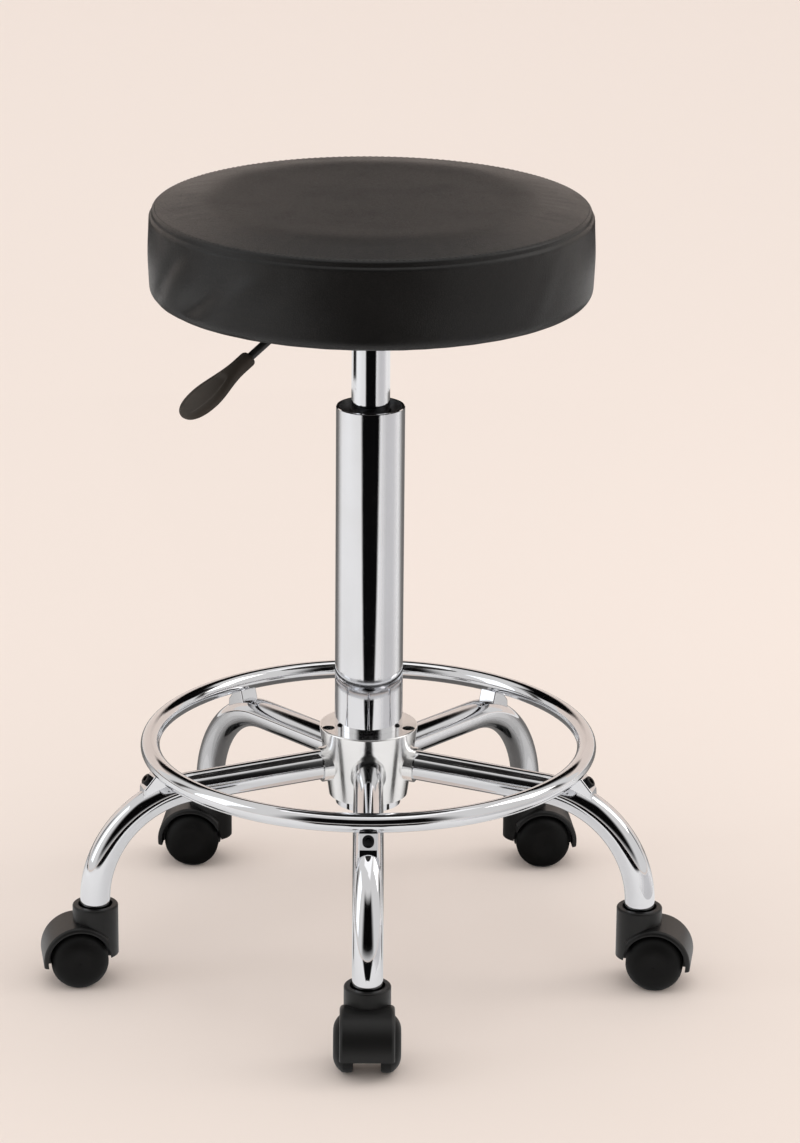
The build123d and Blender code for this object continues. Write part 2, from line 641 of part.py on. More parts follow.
def ring_lug():
    """Narrow saddle between a leg and the foot ring, with a sloping face for its screw."""
    seat = lug_screw_frame()
    across = math.sin(math.radians(LUG_SCREW_TILT))
    upward = math.cos(math.radians(LUG_SCREW_TILT))
    face_high = (seat.origin.X - LUG_FACE_UP * across, seat.origin.Z + LUG_FACE_UP * upward)
    face_low = (seat.origin.X + LUG_FACE_DOWN * across, seat.origin.Z - LUG_FACE_DOWN * upward)
    inside_ring = 0.65 * RING_TUBE
    outline = Polyline(
        (RING_RADIUS - inside_ring, RING_HEIGHT - inside_ring), face_high, face_low,
        (face_low[0] + EDGE_BREAK, LEG_TOP_AT_RING - 0.95 * LEG_RADIUS),
        (RING_RADIUS - 1.2 * RING_TUBE, LEG_TOP_AT_RING - 0.25 * LEG_RADIUS), close=True)
    lug = extrude(Plane.XZ * make_face(outline), LUG_WIDTH / 2, both=True)
    lug = fillet(lug.edges().filter_by(GeomType.LINE).group_by(Axis.Y)[0]
                 + lug.edges().filter_by(GeomType.LINE).group_by(Axis.Y)[-1], 1.0)
    lug -= leg_bar(LEG_RADIUS + SLIP, LEG_INNER_END, LEG_END)
    lug -= Pos(0, 0, RING_HEIGHT) * Torus(RING_RADIUS, RING_TUBE + SLIP)
    lug = lug.solids().sort_by(SortBy.VOLUME)[-1]
    return lug - lug_screw_bar(LUG_SCREW_RADIUS + SLIP, -2 * LUG_SCREW_LENGTH, 1)


def ring_screw():
    """Screw from the sloping face of a lug into the leg."""
    screw = socket_screw(LUG_SCREW_RADIUS, LUG_SCREW_HEAD_RADIUS, LUG_SCREW_HEAD, LUG_SCREW_LENGTH)
    return lug_screw_frame() * screw


# Casters: drawn with the stem on the Z axis and the wheels trailing along plus X.

def stem_socket():
    """Plastic sleeve pressed into the lower end of a leg, narrowing where the tube starts to bend."""
    outer = LEG_BORE - SLIP
    straight = max(LEG_END + 1, min(LEG_BEND_LOW, STEM_SOCKET_TOP - 1))
    into_bend = max(0.0, STEM_SOCKET_TOP - LEG_BEND_LOW)
    lean = LEG_BEND_RADIUS - math.sqrt(LEG_BEND_RADIUS ** 2 - into_bend ** 2)
    flange = LEG_END - STEM_SOCKET_FLANGE
    bore = STEM_RADIUS + GRIP_RING_DEPTH / 2
    return turned([
        (bore, flange), (LEG_RADIUS, flange), (LEG_RADIUS, LEG_END), (outer, LEG_END), (outer, straight),
        (outer - lean - SLIP, STEM_SOCKET_TOP), (bore, STEM_SOCKET_TOP)])


def grip_ring_heights():
    """Lower and upper edge of the grip ring on a stem."""
    low = LEG_END + 0.5 * STEM_SOCKET_LENGTH
    return low, low + GRIP_RING_WIDTH


def caster_stem():
    """Steel stem with a flange, a grip ring groove and a snap bead inside the hood."""
    low, high = grip_ring_heights()
    groove = STEM_RADIUS - GRIP_RING_DEPTH
    flange_top = LEG_END - STEM_SOCKET_FLANGE
    flange_low = flange_top - STEM_FLANGE
    snap = STEM_BOTTOM + STEM_SNAP
    return turned([
        (0, STEM_BOTTOM), (STEM_SNAP_RADIUS, STEM_BOTTOM), (STEM_SNAP_RADIUS, snap),
        (STEM_LOWER_RADIUS, snap), (STEM_LOWER_RADIUS, flange_low), (STEM_FLANGE_RADIUS, flange_low),
        (STEM_FLANGE_RADIUS, flange_top),
        (STEM_RADIUS, flange_top), (STEM_RADIUS, low), (groove, low), (groove, high), (STEM_RADIUS, high),
        (STEM_RADIUS, STEM_TOP - 1), (STEM_RADIUS - 1, STEM_TOP), (0, STEM_TOP)])


def grip_ring():
    """Split spring ring in the stem groove."""
    low, high = grip_ring_heights()
    outer = STEM_RADIUS + GRIP_RING_DEPTH / 2 - RUNNING
    inner = STEM_RADIUS - GRIP_RING_DEPTH + RUNNING
    ring = pipe(outer, inner, low + RUNNING, high - RUNNING)
    return ring - Pos(STEM_RADIUS, 0, (low + high) / 2) * Box(2 * GRIP_RING_WIDTH, 2.0, 2 * GRIP_RING_WIDTH)


def axle_bar(radius, near, far):
    """Bar on the line of the wheel axle."""
    return bar(radius, (CASTER_TRAIL, near, AXLE_HEIGHT), (CASTER_TRAIL, far, AXLE_HEIGHT))


def caster_hood():
    """Hood with a stem collar, a fender over both wheels and a web between them."""
    well = HOOD_RADIUS - HOOD_WALL
    lip = AXLE_HEIGHT - HOOD_LIP_DROP
    fender = axle_bar(HOOD_RADIUS, -HOOD_HALF_WIDTH, HOOD_HALF_WIDTH)
    fender = fillet(fender.edges().filter_by(GeomType.CIRCLE), HOOD_ROUND)
    keep = Pos(0, 0, lip) * Box(4 * HOOD_RADIUS, 4 * HOOD_RADIUS, 4 * HOOD_RADIUS,
                                align=(Align.CENTER, Align.CENTER, Align.MIN))
    trailing = Pos(-COLLAR_RADIUS / 2, 0, lip) * Box(4 * HOOD_RADIUS, 4 * HOOD_RADIUS, 4 * HOOD_RADIUS,
                                                     align=(Align.MIN, Align.CENTER, Align.MIN))
    collar = rod(COLLAR_RADIUS, lip + HOOD_LIP_DROP, COLLAR_TOP)
    collar = fillet(collar.edges().group_by(Axis.Z)[-1], COLLAR_ROUND)
    hood = (fender & keep & trailing) + collar
    for side in (-1, 1):
        hood -= axle_bar(well, side * HOOD_WEB, side * 2 * HOOD_HALF_WIDTH)
    hood += axle_bar(AXLE_HEIGHT - WEB_LOW, -HOOD_WEB, HOOD_WEB)
    hood -= axle_bar(AXLE_RADIUS + SLIP, -HOOD_HALF_WIDTH, HOOD_HALF_WIDTH)
    hood -= rod(CUP_RADIUS, CUP_FLOOR, COLLAR_TOP + 1)
    hood -= rod(STEM_LOWER_RADIUS + RUNNING, STEM_BOTTOM, COLLAR_TOP)
    snap_top = STEM_BOTTOM + STEM_SNAP + AXIAL
    return hood - rod(STEM_SNAP_RADIUS + RUNNING, STEM_BOTTOM - AXIAL, snap_top)


def caster_axle():
    """Steel axle through the web of the hood."""
    return axle_bar(AXLE_RADIUS, -AXLE_REACH, AXLE_REACH)


def caster_wheel(side):
    """Domed wheel with a closed outer face, hollow towards the web."""
    recess = WHEEL_INNER + WHEEL_RECESS
    rim = WHEEL_RADIUS - WHEEL_RIM
    dome = TangentArc((WHEEL_FLAT, WHEEL_OUTER), (WHEEL_RADIUS, WHEEL_TREAD), tangent=(1, 0))
    rest = Polyline(
        (WHEEL_FLAT, WHEEL_OUTER), (0, WHEEL_OUTER - 0.8), (0, AXLE_REACH + AXIAL),
        (AXLE_RADIUS + RUNNING, AXLE_REACH + AXIAL), (AXLE_RADIUS + RUNNING, WHEEL_INNER),
        (WHEEL_HUB_RADIUS, WHEEL_INNER), (WHEEL_HUB_RADIUS, recess),
        (rim, recess), (rim, WHEEL_INNER), (WHEEL_RADIUS - 1, WHEEL_INNER), (WHEEL_RADIUS, WHEEL_INNER + 1),
        (WHEEL_RADIUS, WHEEL_TREAD))
    wheel = revolve(Plane.XZ * make_face(dome + rest), Axis.Z)
    return Pos(CASTER_TRAIL, 0, AXLE_HEIGHT) * Rot(-90 * side, 0, 0) * wheel


def at_caster(name, shape):
    """A caster piece moved to its leg and turned to its heading."""
    azimuth = math.radians(LEG_AZIMUTHS[name])
    place = Pos(LEG_CIRCLE_RADIUS * math.cos(azimuth), LEG_CIRCLE_RADIUS * math.sin(azimuth), 0)
    return place * Rot(0, 0, CASTER_HEADINGS[name]) * shape


def at_stems(shape):
    """One copy of a stem piece for every leg."""
    return Compound(children=[at_caster(name, shape) for name in LEG_AZIMUTHS])


os.makedirs("parts", exist_ok=True)

save(hub(), "hub")
leg_form = leg()
for leg_name, leg_azimuth in LEG_AZIMUTHS.items():
    save(Rot(0, 0, leg_azimuth) * leg_form, f"leg_{leg_name}")
hub_screw = Pos(WELL_CIRCLE_RADIUS, 0, WELL_FLOOR) * socket_screw(
    LEG_SCREW_RADIUS, LEG_SCREW_HEAD_RADIUS, LEG_SCREW_HEAD, LEG_SCREW_LENGTH)
save(each_leg(hub_screw), "hub_screws")
save(each_leg(nut_plug()), "nut_plugs")
save(foot_ring(), "foot_ring")
save(each_leg(ring_lug()), "ring_lugs")
save(each_leg(ring_screw()), "ring_screws")
save(at_stems(stem_socket()), "stem_sockets")
save(at_stems(caster_stem()), "caster_stems")
save(at_stems(grip_ring()), "grip_rings")

save(column_tube(), "column_tube")
save(guide_bush(), "guide_bush")
save(race(FLOOR_TOP), "bearing_lower_race")
save(ball_cage(), "bearing_balls")
save(race(UPPER_RACE), "bearing_upper_race")
save(piston_rod(), "piston_rod")
save(rod_clip(), "rod_clip")
save(bump_ring(), "bump_ring")
save(piston(), "piston")
save(piston_seal(), "piston_seal")
save(gas_cylinder(), "gas_cylinder")
save(rod_gland(), "rod_gland")
save(valve_body(), "valve_body")
save(release_pin(), "release_pin")

save(seat_cover(), "seat_cover")
save(seat_foam(), "seat_foam")
save(seat_board(), "seat_board")
save(dust_cover(), "dust_cover")
save(Compound(children=at_bolts(tee_nut())), "tee_nuts")
save(Compound(children=at_bolts(seat_bolt())), "seat_bolts")
save(Compound(children=at_bolts(seat_washer())), "seat_washers")
save(seat_plate(), "seat_plate")
save(taper_socket(), "taper_socket")
to_lever = Rot(0, 0, LEVER_AZIMUTH)
save(to_lever * lever_pin(), "lever_pin")
save(to_lever * lever_rod(), "lever_rod")
save(to_lever * lever_grip(), "lever_grip")

hood_form = caster_hood()
axle_form = caster_axle()
wheel_forms = {"a": caster_wheel(1), "b": caster_wheel(-1)}
for leg_name in LEG_AZIMUTHS:
    save(at_caster(leg_name, hood_form), f"caster_hood_{leg_name}")
    save(at_caster(leg_name, axle_form), f"caster_axle_{leg_name}")
    for wheel_name, wheel_form in wheel_forms.items():
        save(at_caster(leg_name, wheel_form), f"wheel_{leg_name}_{wheel_name}")
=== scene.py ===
"""Looks for a rolling stool: leather seat, chrome gas lift, five bent legs, foot ring and twin wheel casters.

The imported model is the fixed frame. Chrome, steel, plastic and painted pieces keep their solids and get
procedural finishes. The pad, the dust cloth and the lever grip are surfaces worked out here in their place.
Lengths are metres, Z is up, and the front leg points along minus Y.
"""

import logging
import math
from dataclasses import dataclass
from enum import Enum
from typing import Any, Mapping, Optional, Sequence, Union

import bpy
import numpy as np
from mathutils import Matrix, Vector


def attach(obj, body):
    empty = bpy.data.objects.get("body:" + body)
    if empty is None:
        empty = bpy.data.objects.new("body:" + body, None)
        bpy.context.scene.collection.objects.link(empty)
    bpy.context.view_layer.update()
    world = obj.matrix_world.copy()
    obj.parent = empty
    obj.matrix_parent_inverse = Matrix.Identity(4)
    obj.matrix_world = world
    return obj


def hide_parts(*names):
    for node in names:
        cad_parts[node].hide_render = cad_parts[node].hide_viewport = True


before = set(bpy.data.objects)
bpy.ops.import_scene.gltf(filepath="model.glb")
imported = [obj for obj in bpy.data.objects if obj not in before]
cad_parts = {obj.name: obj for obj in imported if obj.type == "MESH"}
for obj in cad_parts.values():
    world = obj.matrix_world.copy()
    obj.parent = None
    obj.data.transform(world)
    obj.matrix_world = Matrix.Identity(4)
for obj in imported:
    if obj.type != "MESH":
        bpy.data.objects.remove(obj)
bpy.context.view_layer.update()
log = logging.getLogger("stool")

Colour = tuple[float, float, float, float]

SENSOR = 36.0
FOCAL_PIXELS = 4405.58
PHOTO_HEIGHT_PIXELS = 1143
TINY = 1e-12


def linear(red: float, green: float, blue: float) -> Colour:
    """Scene linear colour of a display colour on a scale of 0 to 255.

    Args:
        red: Red share.
        green: Green share.
        blue: Blue share.

    Returns:
        Linear colour with full alpha.
    """
    share = np.array([red, green, blue]) / 255.0
    value = np.where(share <= 0.04045, share / 12.92, ((share + 0.055) / 1.055) ** 2.4)
    return (float(value[0]), float(value[1]), float(value[2]), 1.0)


class Value:
    """A shader socket that takes part in Python arithmetic, one Math node for each operator."""

    def __init__(self, graph: "Graph", socket: bpy.types.NodeSocket) -> None:
        """Keeps the socket and the graph that it belongs to."""
        self.graph = graph
        self.socket = socket

    def _math(self, operation: str, first: "Operand", second: "Operand" = 0.0) -> "Value":
        """One Math node on two operands."""
        return self.graph.node("ShaderNodeMath", {"operation": operation}, {0: first, 1: second})

    def __add__(self, other: "Operand") -> "Value":
        """Sum."""
        return self._math("ADD", self, other)

    def __radd__(self, other: "Operand") -> "Value":
        """Reflected sum."""
        return self._math("ADD", other, self)

    def __sub__(self, other: "Operand") -> "Value":
        """Difference."""
        return self._math("SUBTRACT", self, other)

    def __rsub__(self, other: "Operand") -> "Value":
        """Reflected difference."""
        return self._math("SUBTRACT", other, self)

    def __mul__(self, other: "Operand") -> "Value":
        """Product."""
        return self._math("MULTIPLY", self, other)

    def __rmul__(self, other: "Operand") -> "Value":
        """Reflected product."""
        return self._math("MULTIPLY", other, self)

    def greatest(self, other: "Operand") -> "Value":
        """The larger of two values."""
        return self._math("MAXIMUM", self, other)

    def between(self, low: float, high: float) -> "Value":
        """Smooth step that rises from 0 at low to 1 at high."""
        return self.graph.node(
            "ShaderNodeMapRange", {"interpolation_type": "SMOOTHSTEP"}, {0: self, 1: low, 2: high})


Operand = Union[Value, float]


class Graph:
    """Node tree of one material or world."""

    def __init__(self, tree: bpy.types.NodeTree) -> None:
        """Starts from an empty tree."""
        self.tree = tree
        tree.nodes.clear()

    def node(self, kind: str, settings: Optional[Mapping[str, Any]] = None,
             inputs: Optional[Mapping[Union[int, str], Any]] = None, output: Union[int, str] = 0) -> Value:
        """Adds one node.

        Args:
            kind: Node type.
            settings: Node properties, set first.
            inputs: Numbers, colours or Values by socket name or index.
            output: Which output to give back.

        Returns:
            The chosen output, or the first input of a node that has no output.
        """
        made = self.tree.nodes.new(kind)
        for key, value in (settings or {}).items():
            setattr(made, key, value)
        for key, value in (inputs or {}).items():
            if isinstance(value, Value):
                self.tree.links.new(value.socket, made.inputs[key])
            else:
                made.inputs[key].default_value = value
        return Value(self, made.outputs[output] if len(made.outputs) else made.inputs[0])

    def place(self, scale: Sequence[float] = (1.0, 1.0, 1.0)) -> Value:
        """Object coordinates, stretched by a scale for each axis."""
        point = self.node("ShaderNodeTexCoord", output="Object")
        return self.node(
            "ShaderNodeMapping", {"vector_type": "POINT"}, {"Vector": point, "Scale": tuple(scale)})

    def noise(self, scale: float, detail: float = 2.0, at: Optional[Value] = None,
              rough: float = 0.5) -> Value:
        """Cloudy noise from 0 to 1 with that many bumps to the metre."""
        return self.node("ShaderNodeTexNoise", None, {
            "Vector": at or self.place(), "Scale": scale, "Detail": detail, "Roughness": rough})

    def cells(self, scale: float, feature: str = "DISTANCE_TO_EDGE", spread: float = 1.0,
              at: Optional[Value] = None) -> Value:
        """Distance within a pattern of cells, with that many cells to the metre."""
        return self.node("ShaderNodeTexVoronoi", {"feature": feature}, {
            "Vector": at or self.place(), "Scale": scale, "Randomness": spread})

    def mix(self, factor: Operand, first: Any, second: Any) -> Value:
        """Colour between two colours."""
        return self.node("ShaderNodeMix", {"data_type": "RGBA"}, {0: factor, 6: first, 7: second}, 2)

    def bump(self, height: Value, strength: float, depth: float) -> Value:
        """Normal of a surface raised by a height, where a height of 1 is depth metres."""
        return self.node("ShaderNodeBump", None, {"Height": height, "Strength": strength, "Distance": depth})

    def surface(self, sockets: Mapping[str, Any]) -> None:
        """Principled surface with these sockets, led to the material output."""
        shader = self.node("ShaderNodeBsdfPrincipled", None, sockets)
        self.node("ShaderNodeOutputMaterial", None, {"Surface": shader})


MADE: dict["Finish", bpy.types.Material] = {}


@dataclass(frozen=True)
class Finish:
    """A finish that makes its material once."""

    name: str

    def material(self) -> bpy.types.Material:
        """The finish as a material, made when it is first asked for.

        Returns:
            The one material of this finish.
        """
        if self not in MADE:
            made = bpy.data.materials.new(f"look_{self.name}")
            made.use_nodes = True
            self.build(Graph(made.node_tree))
            MADE[self] = made
        return MADE[self]

    def build(self, graph: Graph) -> None:
        """Adds the nodes of the finish.

        Args:
            graph: Node tree to fill.
        """
        raise NotImplementedError


@dataclass(frozen=True)
class Chrome(Finish):
    """Bright plating: a near mirror with faint smears and a slow ripple from the polished tube under it."""

    colour: Colour = linear(224, 225, 228)
    polish: float = 0.04
    smear: float = 0.06
    haze: Colour = linear(206, 205, 204)

    def build(self, graph: Graph) -> None:
        """Adds the nodes of the finish.

        Args:
            graph: Node tree to fill.
        """
        smears = graph.noise(scale=14.0, detail=4.0).between(0.45, 0.8)
        specks = graph.noise(scale=420.0, detail=1.0).between(0.68, 0.76)
        tint = graph.mix(smears * 0.35, self.colour, self.haze)
        ripple = graph.bump(graph.noise(scale=55.0, detail=1.0), strength=0.05, depth=0.0006)
        graph.surface({
            "Base Color": tint, "Metallic": 1.0, "Normal": ripple,
            "Roughness": self.polish + smears * self.smear + specks * 0.05})


@dataclass(frozen=True)
class Steel(Finish):
    """Turned or drawn steel with fine marks along or round the piece."""

    colour: Colour = linear(168, 168, 170)
    dark: Colour = linear(120, 120, 122)
    rough: float = 0.26
    grain: tuple[float, float, float] = (40.0, 40.0, 1800.0)

    def build(self, graph: Graph) -> None:
        """Adds the nodes of the finish.

        Args:
            graph: Node tree to fill.
        """
        marks = graph.noise(scale=1.0, detail=3.0, at=graph.place(self.grain))
        patch = graph.noise(scale=160.0, detail=3.0)
        graph.surface({
            "Base Color": graph.mix(patch.between(0.3, 0.75), self.colour, self.dark), "Metallic": 1.0,
            "Roughness": self.rough + marks * 0.18, "Normal": graph.bump(marks, strength=0.12, depth=0.0002)})


@dataclass(frozen=True)
class Leather(Finish):
    """Upholstery leather: pebbled cells with dark creases, a soft gloss and rubbed high spots."""

    colour: Colour = linear(18, 18, 18)
    crease: Colour = linear(10, 10, 10)
    rubbed: Colour = linear(27, 26, 26)
    cell: float = 0.0017
    fine_cells: float = 2.6
    shake: float = 0.0016
    rough: float = 0.30

    def build(self, graph: Graph) -> None:
        """Adds the nodes of the finish.

        Args:
            graph: Node tree to fill.
        """
        drift = graph.noise(scale=260.0, detail=2.0)
        point = graph.place()
        shaken = graph.node("ShaderNodeVectorMath", {"operation": "MULTIPLY_ADD"}, {
            0: graph.node("ShaderNodeTexNoise", None, {"Vector": point, "Scale": 320.0}, "Color"),
            1: (self.shake, self.shake, self.shake), 2: point})
        pebbles = graph.cells(1.0 / self.cell, at=shaken).between(0.0, 0.22)
        fine = graph.cells(self.fine_cells / self.cell, at=shaken).between(0.0, 0.3)
        grain = pebbles * 0.75 + fine * 0.25
        wear = graph.noise(scale=19.0, detail=4.0).between(0.42, 0.78)
        body = graph.mix(wear * 0.5 + drift * 0.25, self.colour, self.rubbed)
        graph.surface({
            "Base Color": graph.mix(grain * 0.7 + 0.3, self.crease, body),
            "Roughness": self.rough + (1 - grain) * 0.12 + wear * 0.07,
            "Normal": graph.bump(grain + drift * 0.4, strength=0.30, depth=0.00022),
            "Specular IOR Level": 0.30, "Coat Weight": 0.03, "Coat Roughness": 0.25})


@dataclass(frozen=True)
class Moulded(Finish):
    """Injection moulded plastic with a fine eroded texture, slight flow clouds and light scuffs."""

    colour: Colour = linear(27, 27, 27)
    scuff: Colour = linear(62, 61, 60)
    rough: float = 0.38
    texture: float = 2600.0
    wear: float = 0.25
    gloss: float = 0.22

    def build(self, graph: Graph) -> None:
        """Adds the nodes of the finish.

        Args:
            graph: Node tree to fill.
        """
        skin = graph.noise(scale=self.texture, detail=2.0)
        cloud = graph.noise(scale=70.0, detail=3.0)
        lines = graph.noise(scale=1.0, detail=4.0, at=graph.place((90.0, 240.0, 1500.0)), rough=0.7)
        scratch = lines.between(0.62, 0.74)
        rubbed = scratch * cloud.between(0.4, 0.7) * self.wear
        graph.surface({
            "Base Color": graph.mix(rubbed + cloud * 0.06, self.colour, self.scuff),
            "Roughness": self.rough + skin * 0.10 + rubbed * 0.25,
            "Normal": graph.bump(skin + scratch * 0.3, strength=0.16, depth=0.00018),
            "Specular IOR Level": self.gloss})


@dataclass(frozen=True)
class Powder(Finish):
    """Powder coat on pressed steel: an even skin with the dimples of orange peel."""

    colour: Colour = linear(30, 30, 31)
    rough: float = 0.42
    dusty: Colour = linear(66, 64, 62)

    def build(self, graph: Graph) -> None:
        """Adds the nodes of the finish.

        Args:
            graph: Node tree to fill.
        """
        peel = graph.cells(620.0, "SMOOTH_F1")
        dust = graph.noise(scale=48.0, detail=5.0).between(0.5, 0.85)
        graph.surface({
            "Base Color": graph.mix(dust * 0.4, self.colour, self.dusty),
            "Roughness": self.rough + dust * 0.18, "Normal": graph.bump(peel, strength=0.22, depth=0.0003)})


@dataclass(frozen=True)
class Zinc(Finish):
    """Zinc plate with soft crystal patches."""

    colour: Colour = linear(188, 188, 184)
    patch: Colour = linear(150, 152, 156)

    def build(self, graph: Graph) -> None:
        """Adds the nodes of the finish.

        Args:
            graph: Node tree to fill.
        """
        flake = graph.node("ShaderNodeTexVoronoi", {"feature": "F1"}, {
            "Vector": graph.place(), "Scale": 420.0}, "Color")
        share = graph.node("ShaderNodeSeparateColor", None, {"Color": flake})
        graph.surface({
            "Base Color": graph.mix(share * 0.7, self.colour, self.patch), "Metallic": 1.0,
            "Roughness": 0.30 + share * 0.16})


@dataclass(frozen=True)
class Plywood(Finish):
    """Plywood: plies stacked in Z, with long grain on the faces."""

    light: Colour = linear(196, 160, 116)
    dark: Colour = linear(140, 102, 64)
    plies: float = 430.0
    plies_at_scale_1: float = 6.5

    def build(self, graph: Graph) -> None:
        """Adds the nodes of the finish.

        Args:
            graph: Node tree to fill.
        """
        ply = graph.node("ShaderNodeTexWave", {"bands_direction": "Z", "wave_profile": "TRI"}, {
            "Vector": graph.place(), "Scale": self.plies / self.plies_at_scale_1, "Distortion": 0.6,
            "Detail": 2.0}, "Fac")
        grain = graph.noise(scale=1.0, detail=5.0, at=graph.place((30.0, 420.0, 420.0)))
        graph.surface({
            "Base Color": graph.mix(ply * 0.5 + grain * 0.5, self.light, self.dark),
            "Roughness": 0.62 + grain * 0.2, "Normal": graph.bump(grain, strength=0.2, depth=0.0003)})


@dataclass(frozen=True)
class Nonwoven(Finish):
    """Spun dust cloth: matted fibres pressed together at a regular grid of dots."""

    colour: Colour = linear(29, 29, 30)
    fibre: Colour = linear(62, 62, 64)
    pitch: float = 0.0022

    def build(self, graph: Graph) -> None:
        """Adds the nodes of the finish.

        Args:
            graph: Node tree to fill.
        """
        dots = graph.cells(1.0 / self.pitch, "F1", 0.0, graph.place((1.0, 1.0, 0.0)))
        pressed = 1 - dots.between(0.16, 0.30)
        hair = graph.noise(scale=1.0, detail=4.0, at=graph.place((2400.0, 500.0, 500.0)), rough=0.7)
        cross = graph.noise(scale=1.0, detail=4.0, at=graph.place((500.0, 2400.0, 500.0)), rough=0.7)
        matted = hair.greatest(cross)
        graph.surface({
            "Base Color": graph.mix(matted.between(0.5, 0.75), self.colour, self.fibre),
            "Roughness": 0.9 - pressed * 0.25, "Sheen Weight": 0.2,
            "Normal": graph.bump(matted * 0.5 - pressed * 0.6, strength=0.4, depth=0.0003)})


@dataclass(frozen=True)
class Rubber(Finish):
    """Black rubber with a dusty bloom."""

    colour: Colour = linear(24, 24, 25)
    dusty: Colour = linear(58, 58, 60)

    def build(self, graph: Graph) -> None:
        """Adds the nodes of the finish.

        Args:
            graph: Node tree to fill.
        """
        bloom = graph.noise(scale=240.0, detail=4.0).between(0.45, 0.8)
        graph.surface({
            "Base Color": graph.mix(bloom * 0.4, self.colour, self.dusty),
            "Roughness": 0.68 + bloom * 0.2,
            "Normal": graph.bump(graph.noise(scale=1500.0), strength=0.2, depth=0.0002)})


@dataclass(frozen=True)
class Thread(Finish):
    """Twisted sewing thread."""

    colour: Colour = linear(34, 33, 32)
    light: Colour = linear(58, 56, 54)

    def build(self, graph: Graph) -> None:
        """Adds the nodes of the finish.

        Args:
            graph: Node tree to fill.
        """
        twist = graph.noise(scale=2600.0, detail=2.0)
        graph.surface({
            "Base Color": graph.mix(twist, self.colour, self.light),
            "Roughness": 0.6 + twist * 0.2, "Normal": graph.bump(twist, strength=0.5, depth=0.0002)})


@dataclass(frozen=True)
class Seamless(Finish):
    """Matt paper of the floor and backdrop, a little paler far behind."""

    colour: Colour = linear(235, 224, 217)
    far: Colour = linear(246, 236, 230)

    def build(self, graph: Graph) -> None:
        """Adds the nodes of the finish.

        Args:
            graph: Node tree to fill.
        """
        back = graph.node("ShaderNodeSeparateXYZ", None, {"Vector": graph.place()}, "Y").between(-0.6, 3.6)
        graph.surface({
            "Base Color": graph.mix(
                back * 0.96 + graph.noise(scale=0.8, detail=2.0) * 0.04, self.colour, self.far),
            "Roughness": 0.85, "Specular IOR Level": 0.1})


@dataclass(frozen=True)
class Card(Finish):
    """Plain card that only mirrors see, fading out where its attribute "fade" falls to 0."""

    colour: Colour = linear(12, 12, 13)
    # glow is painted light: the card shines in mirrors by itself and lights nothing else
    glow: float = 0.0

    def build(self, graph: Graph) -> None:
        """Adds the nodes of the finish.

        Args:
            graph: Node tree to fill.
        """
        fade = graph.node("ShaderNodeAttribute", {"attribute_name": "fade"}, None, "Fac")
        graph.surface({
            "Base Color": self.colour, "Roughness": 1.0, "Specular IOR Level": 0.0, "Alpha": fade,
            "Emission Color": self.colour, "Emission Strength": self.glow})


CHROME = Chrome("polished_chrome")
TUBE_CHROME = Chrome("column_chrome", smear=0.05)
HUB_CHROME = Chrome("hub_chrome", linear(243, 243, 243), polish=0.14, smear=0.10)
BRIGHT_STEEL = Steel("bright_steel")
BLACK_SCREW = Steel("black_screw", linear(46, 46, 47), linear(26, 26, 27),
                    rough=0.34, grain=(500.0, 500.0, 500.0))
BLACK_ROD = Powder("black_rod", linear(26, 26, 26), rough=0.34)
HOOD_PLASTIC = Moulded("hood_plastic", linear(17, 17, 17), linear(48, 47, 46), rough=0.33, gloss=0.32)
WHEEL_PLASTIC = Moulded("wheel_plastic", linear(13, 13, 13), linear(44, 43, 42),
                        rough=0.40, texture=1900.0, wear=0.3, gloss=0.13)
GRIP_PLASTIC = Moulded("grip_plastic", linear(55, 50, 45), linear(82, 77, 72),
                       rough=0.46, texture=1700.0, wear=0.2, gloss=0.20)
BUSH_PLASTIC = Moulded("bush_plastic", linear(34, 34, 35), linear(70, 70, 70), rough=0.5)
RUBBER = Rubber("rubber")
VALVE_ALLOY = Steel("valve_alloy", linear(186, 166, 118), linear(150, 128, 84),
                    rough=0.3, grain=(300.0, 300.0, 300.0))
PLATE_PAINT = Powder("plate_paint")
ZINC = Zinc("zinc_plate")
PLYWOOD = Plywood("plywood")
DUST_CLOTH = Nonwoven("dust_cloth")
LEATHER = Leather("seat_leather")
THREAD = Thread("sewing_thread")
PAPER = Seamless("backdrop_paper")
BLACK_CARD = Card("black_card")
PALE_CARD = Card("pale_card", linear(206, 207, 210))
# The white card's glow is a painted reflection that brightens the chrome over the floor
WHITE_CARD = Card("white_card", linear(236, 237, 238), glow=0.10)
DARK_CARD = Card("dark_card", linear(66, 64, 62))
MIDDLE_CARD = Card("middle_card", linear(116, 115, 114))


class Leg(Enum):
    """The five legs by the names that their nodes end with."""

    FRONT = "front"
    RIGHT = "right"
    BACK_RIGHT = "back_right"
    BACK_LEFT = "back_left"
    LEFT = "left"


def dress(finish: Finish, *nodes: str) -> None:
    """Gives CAD nodes a finish.

    Args:
        finish: The finish to put on.
        nodes: Names of the nodes.
    """
    for node in nodes:
        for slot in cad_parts[node].material_slots:
            slot.material = finish.material()
    log.info("%s on %s", finish.name, ", ".join(nodes))


def grid_faces(rows: int, columns: int, closed: bool) -> np.ndarray:
    """Quads of a grid of points.

    Args:
        rows: Rows of points.
        columns: Points in a row.
        closed: Whether the last column joins back to the first.

    Returns:
        Corner indices, one row for each quad.
    """
    spans = columns if closed else columns - 1
    row, column = np.meshgrid(np.arange(rows - 1), np.arange(spans), indexing="ij")
    after = (column + 1) % columns
    low, high = row * columns, (row + 1) * columns
    return np.stack((low + column, low + after, high + after, high + column), -1).reshape(-1, 4)


def end_caps(rows: int, columns: int) -> np.ndarray:
    """The two end polygons of a tube of rows by columns of points."""
    first = np.arange(columns)
    return np.array([first[::-1], first + columns * (rows - 1)])


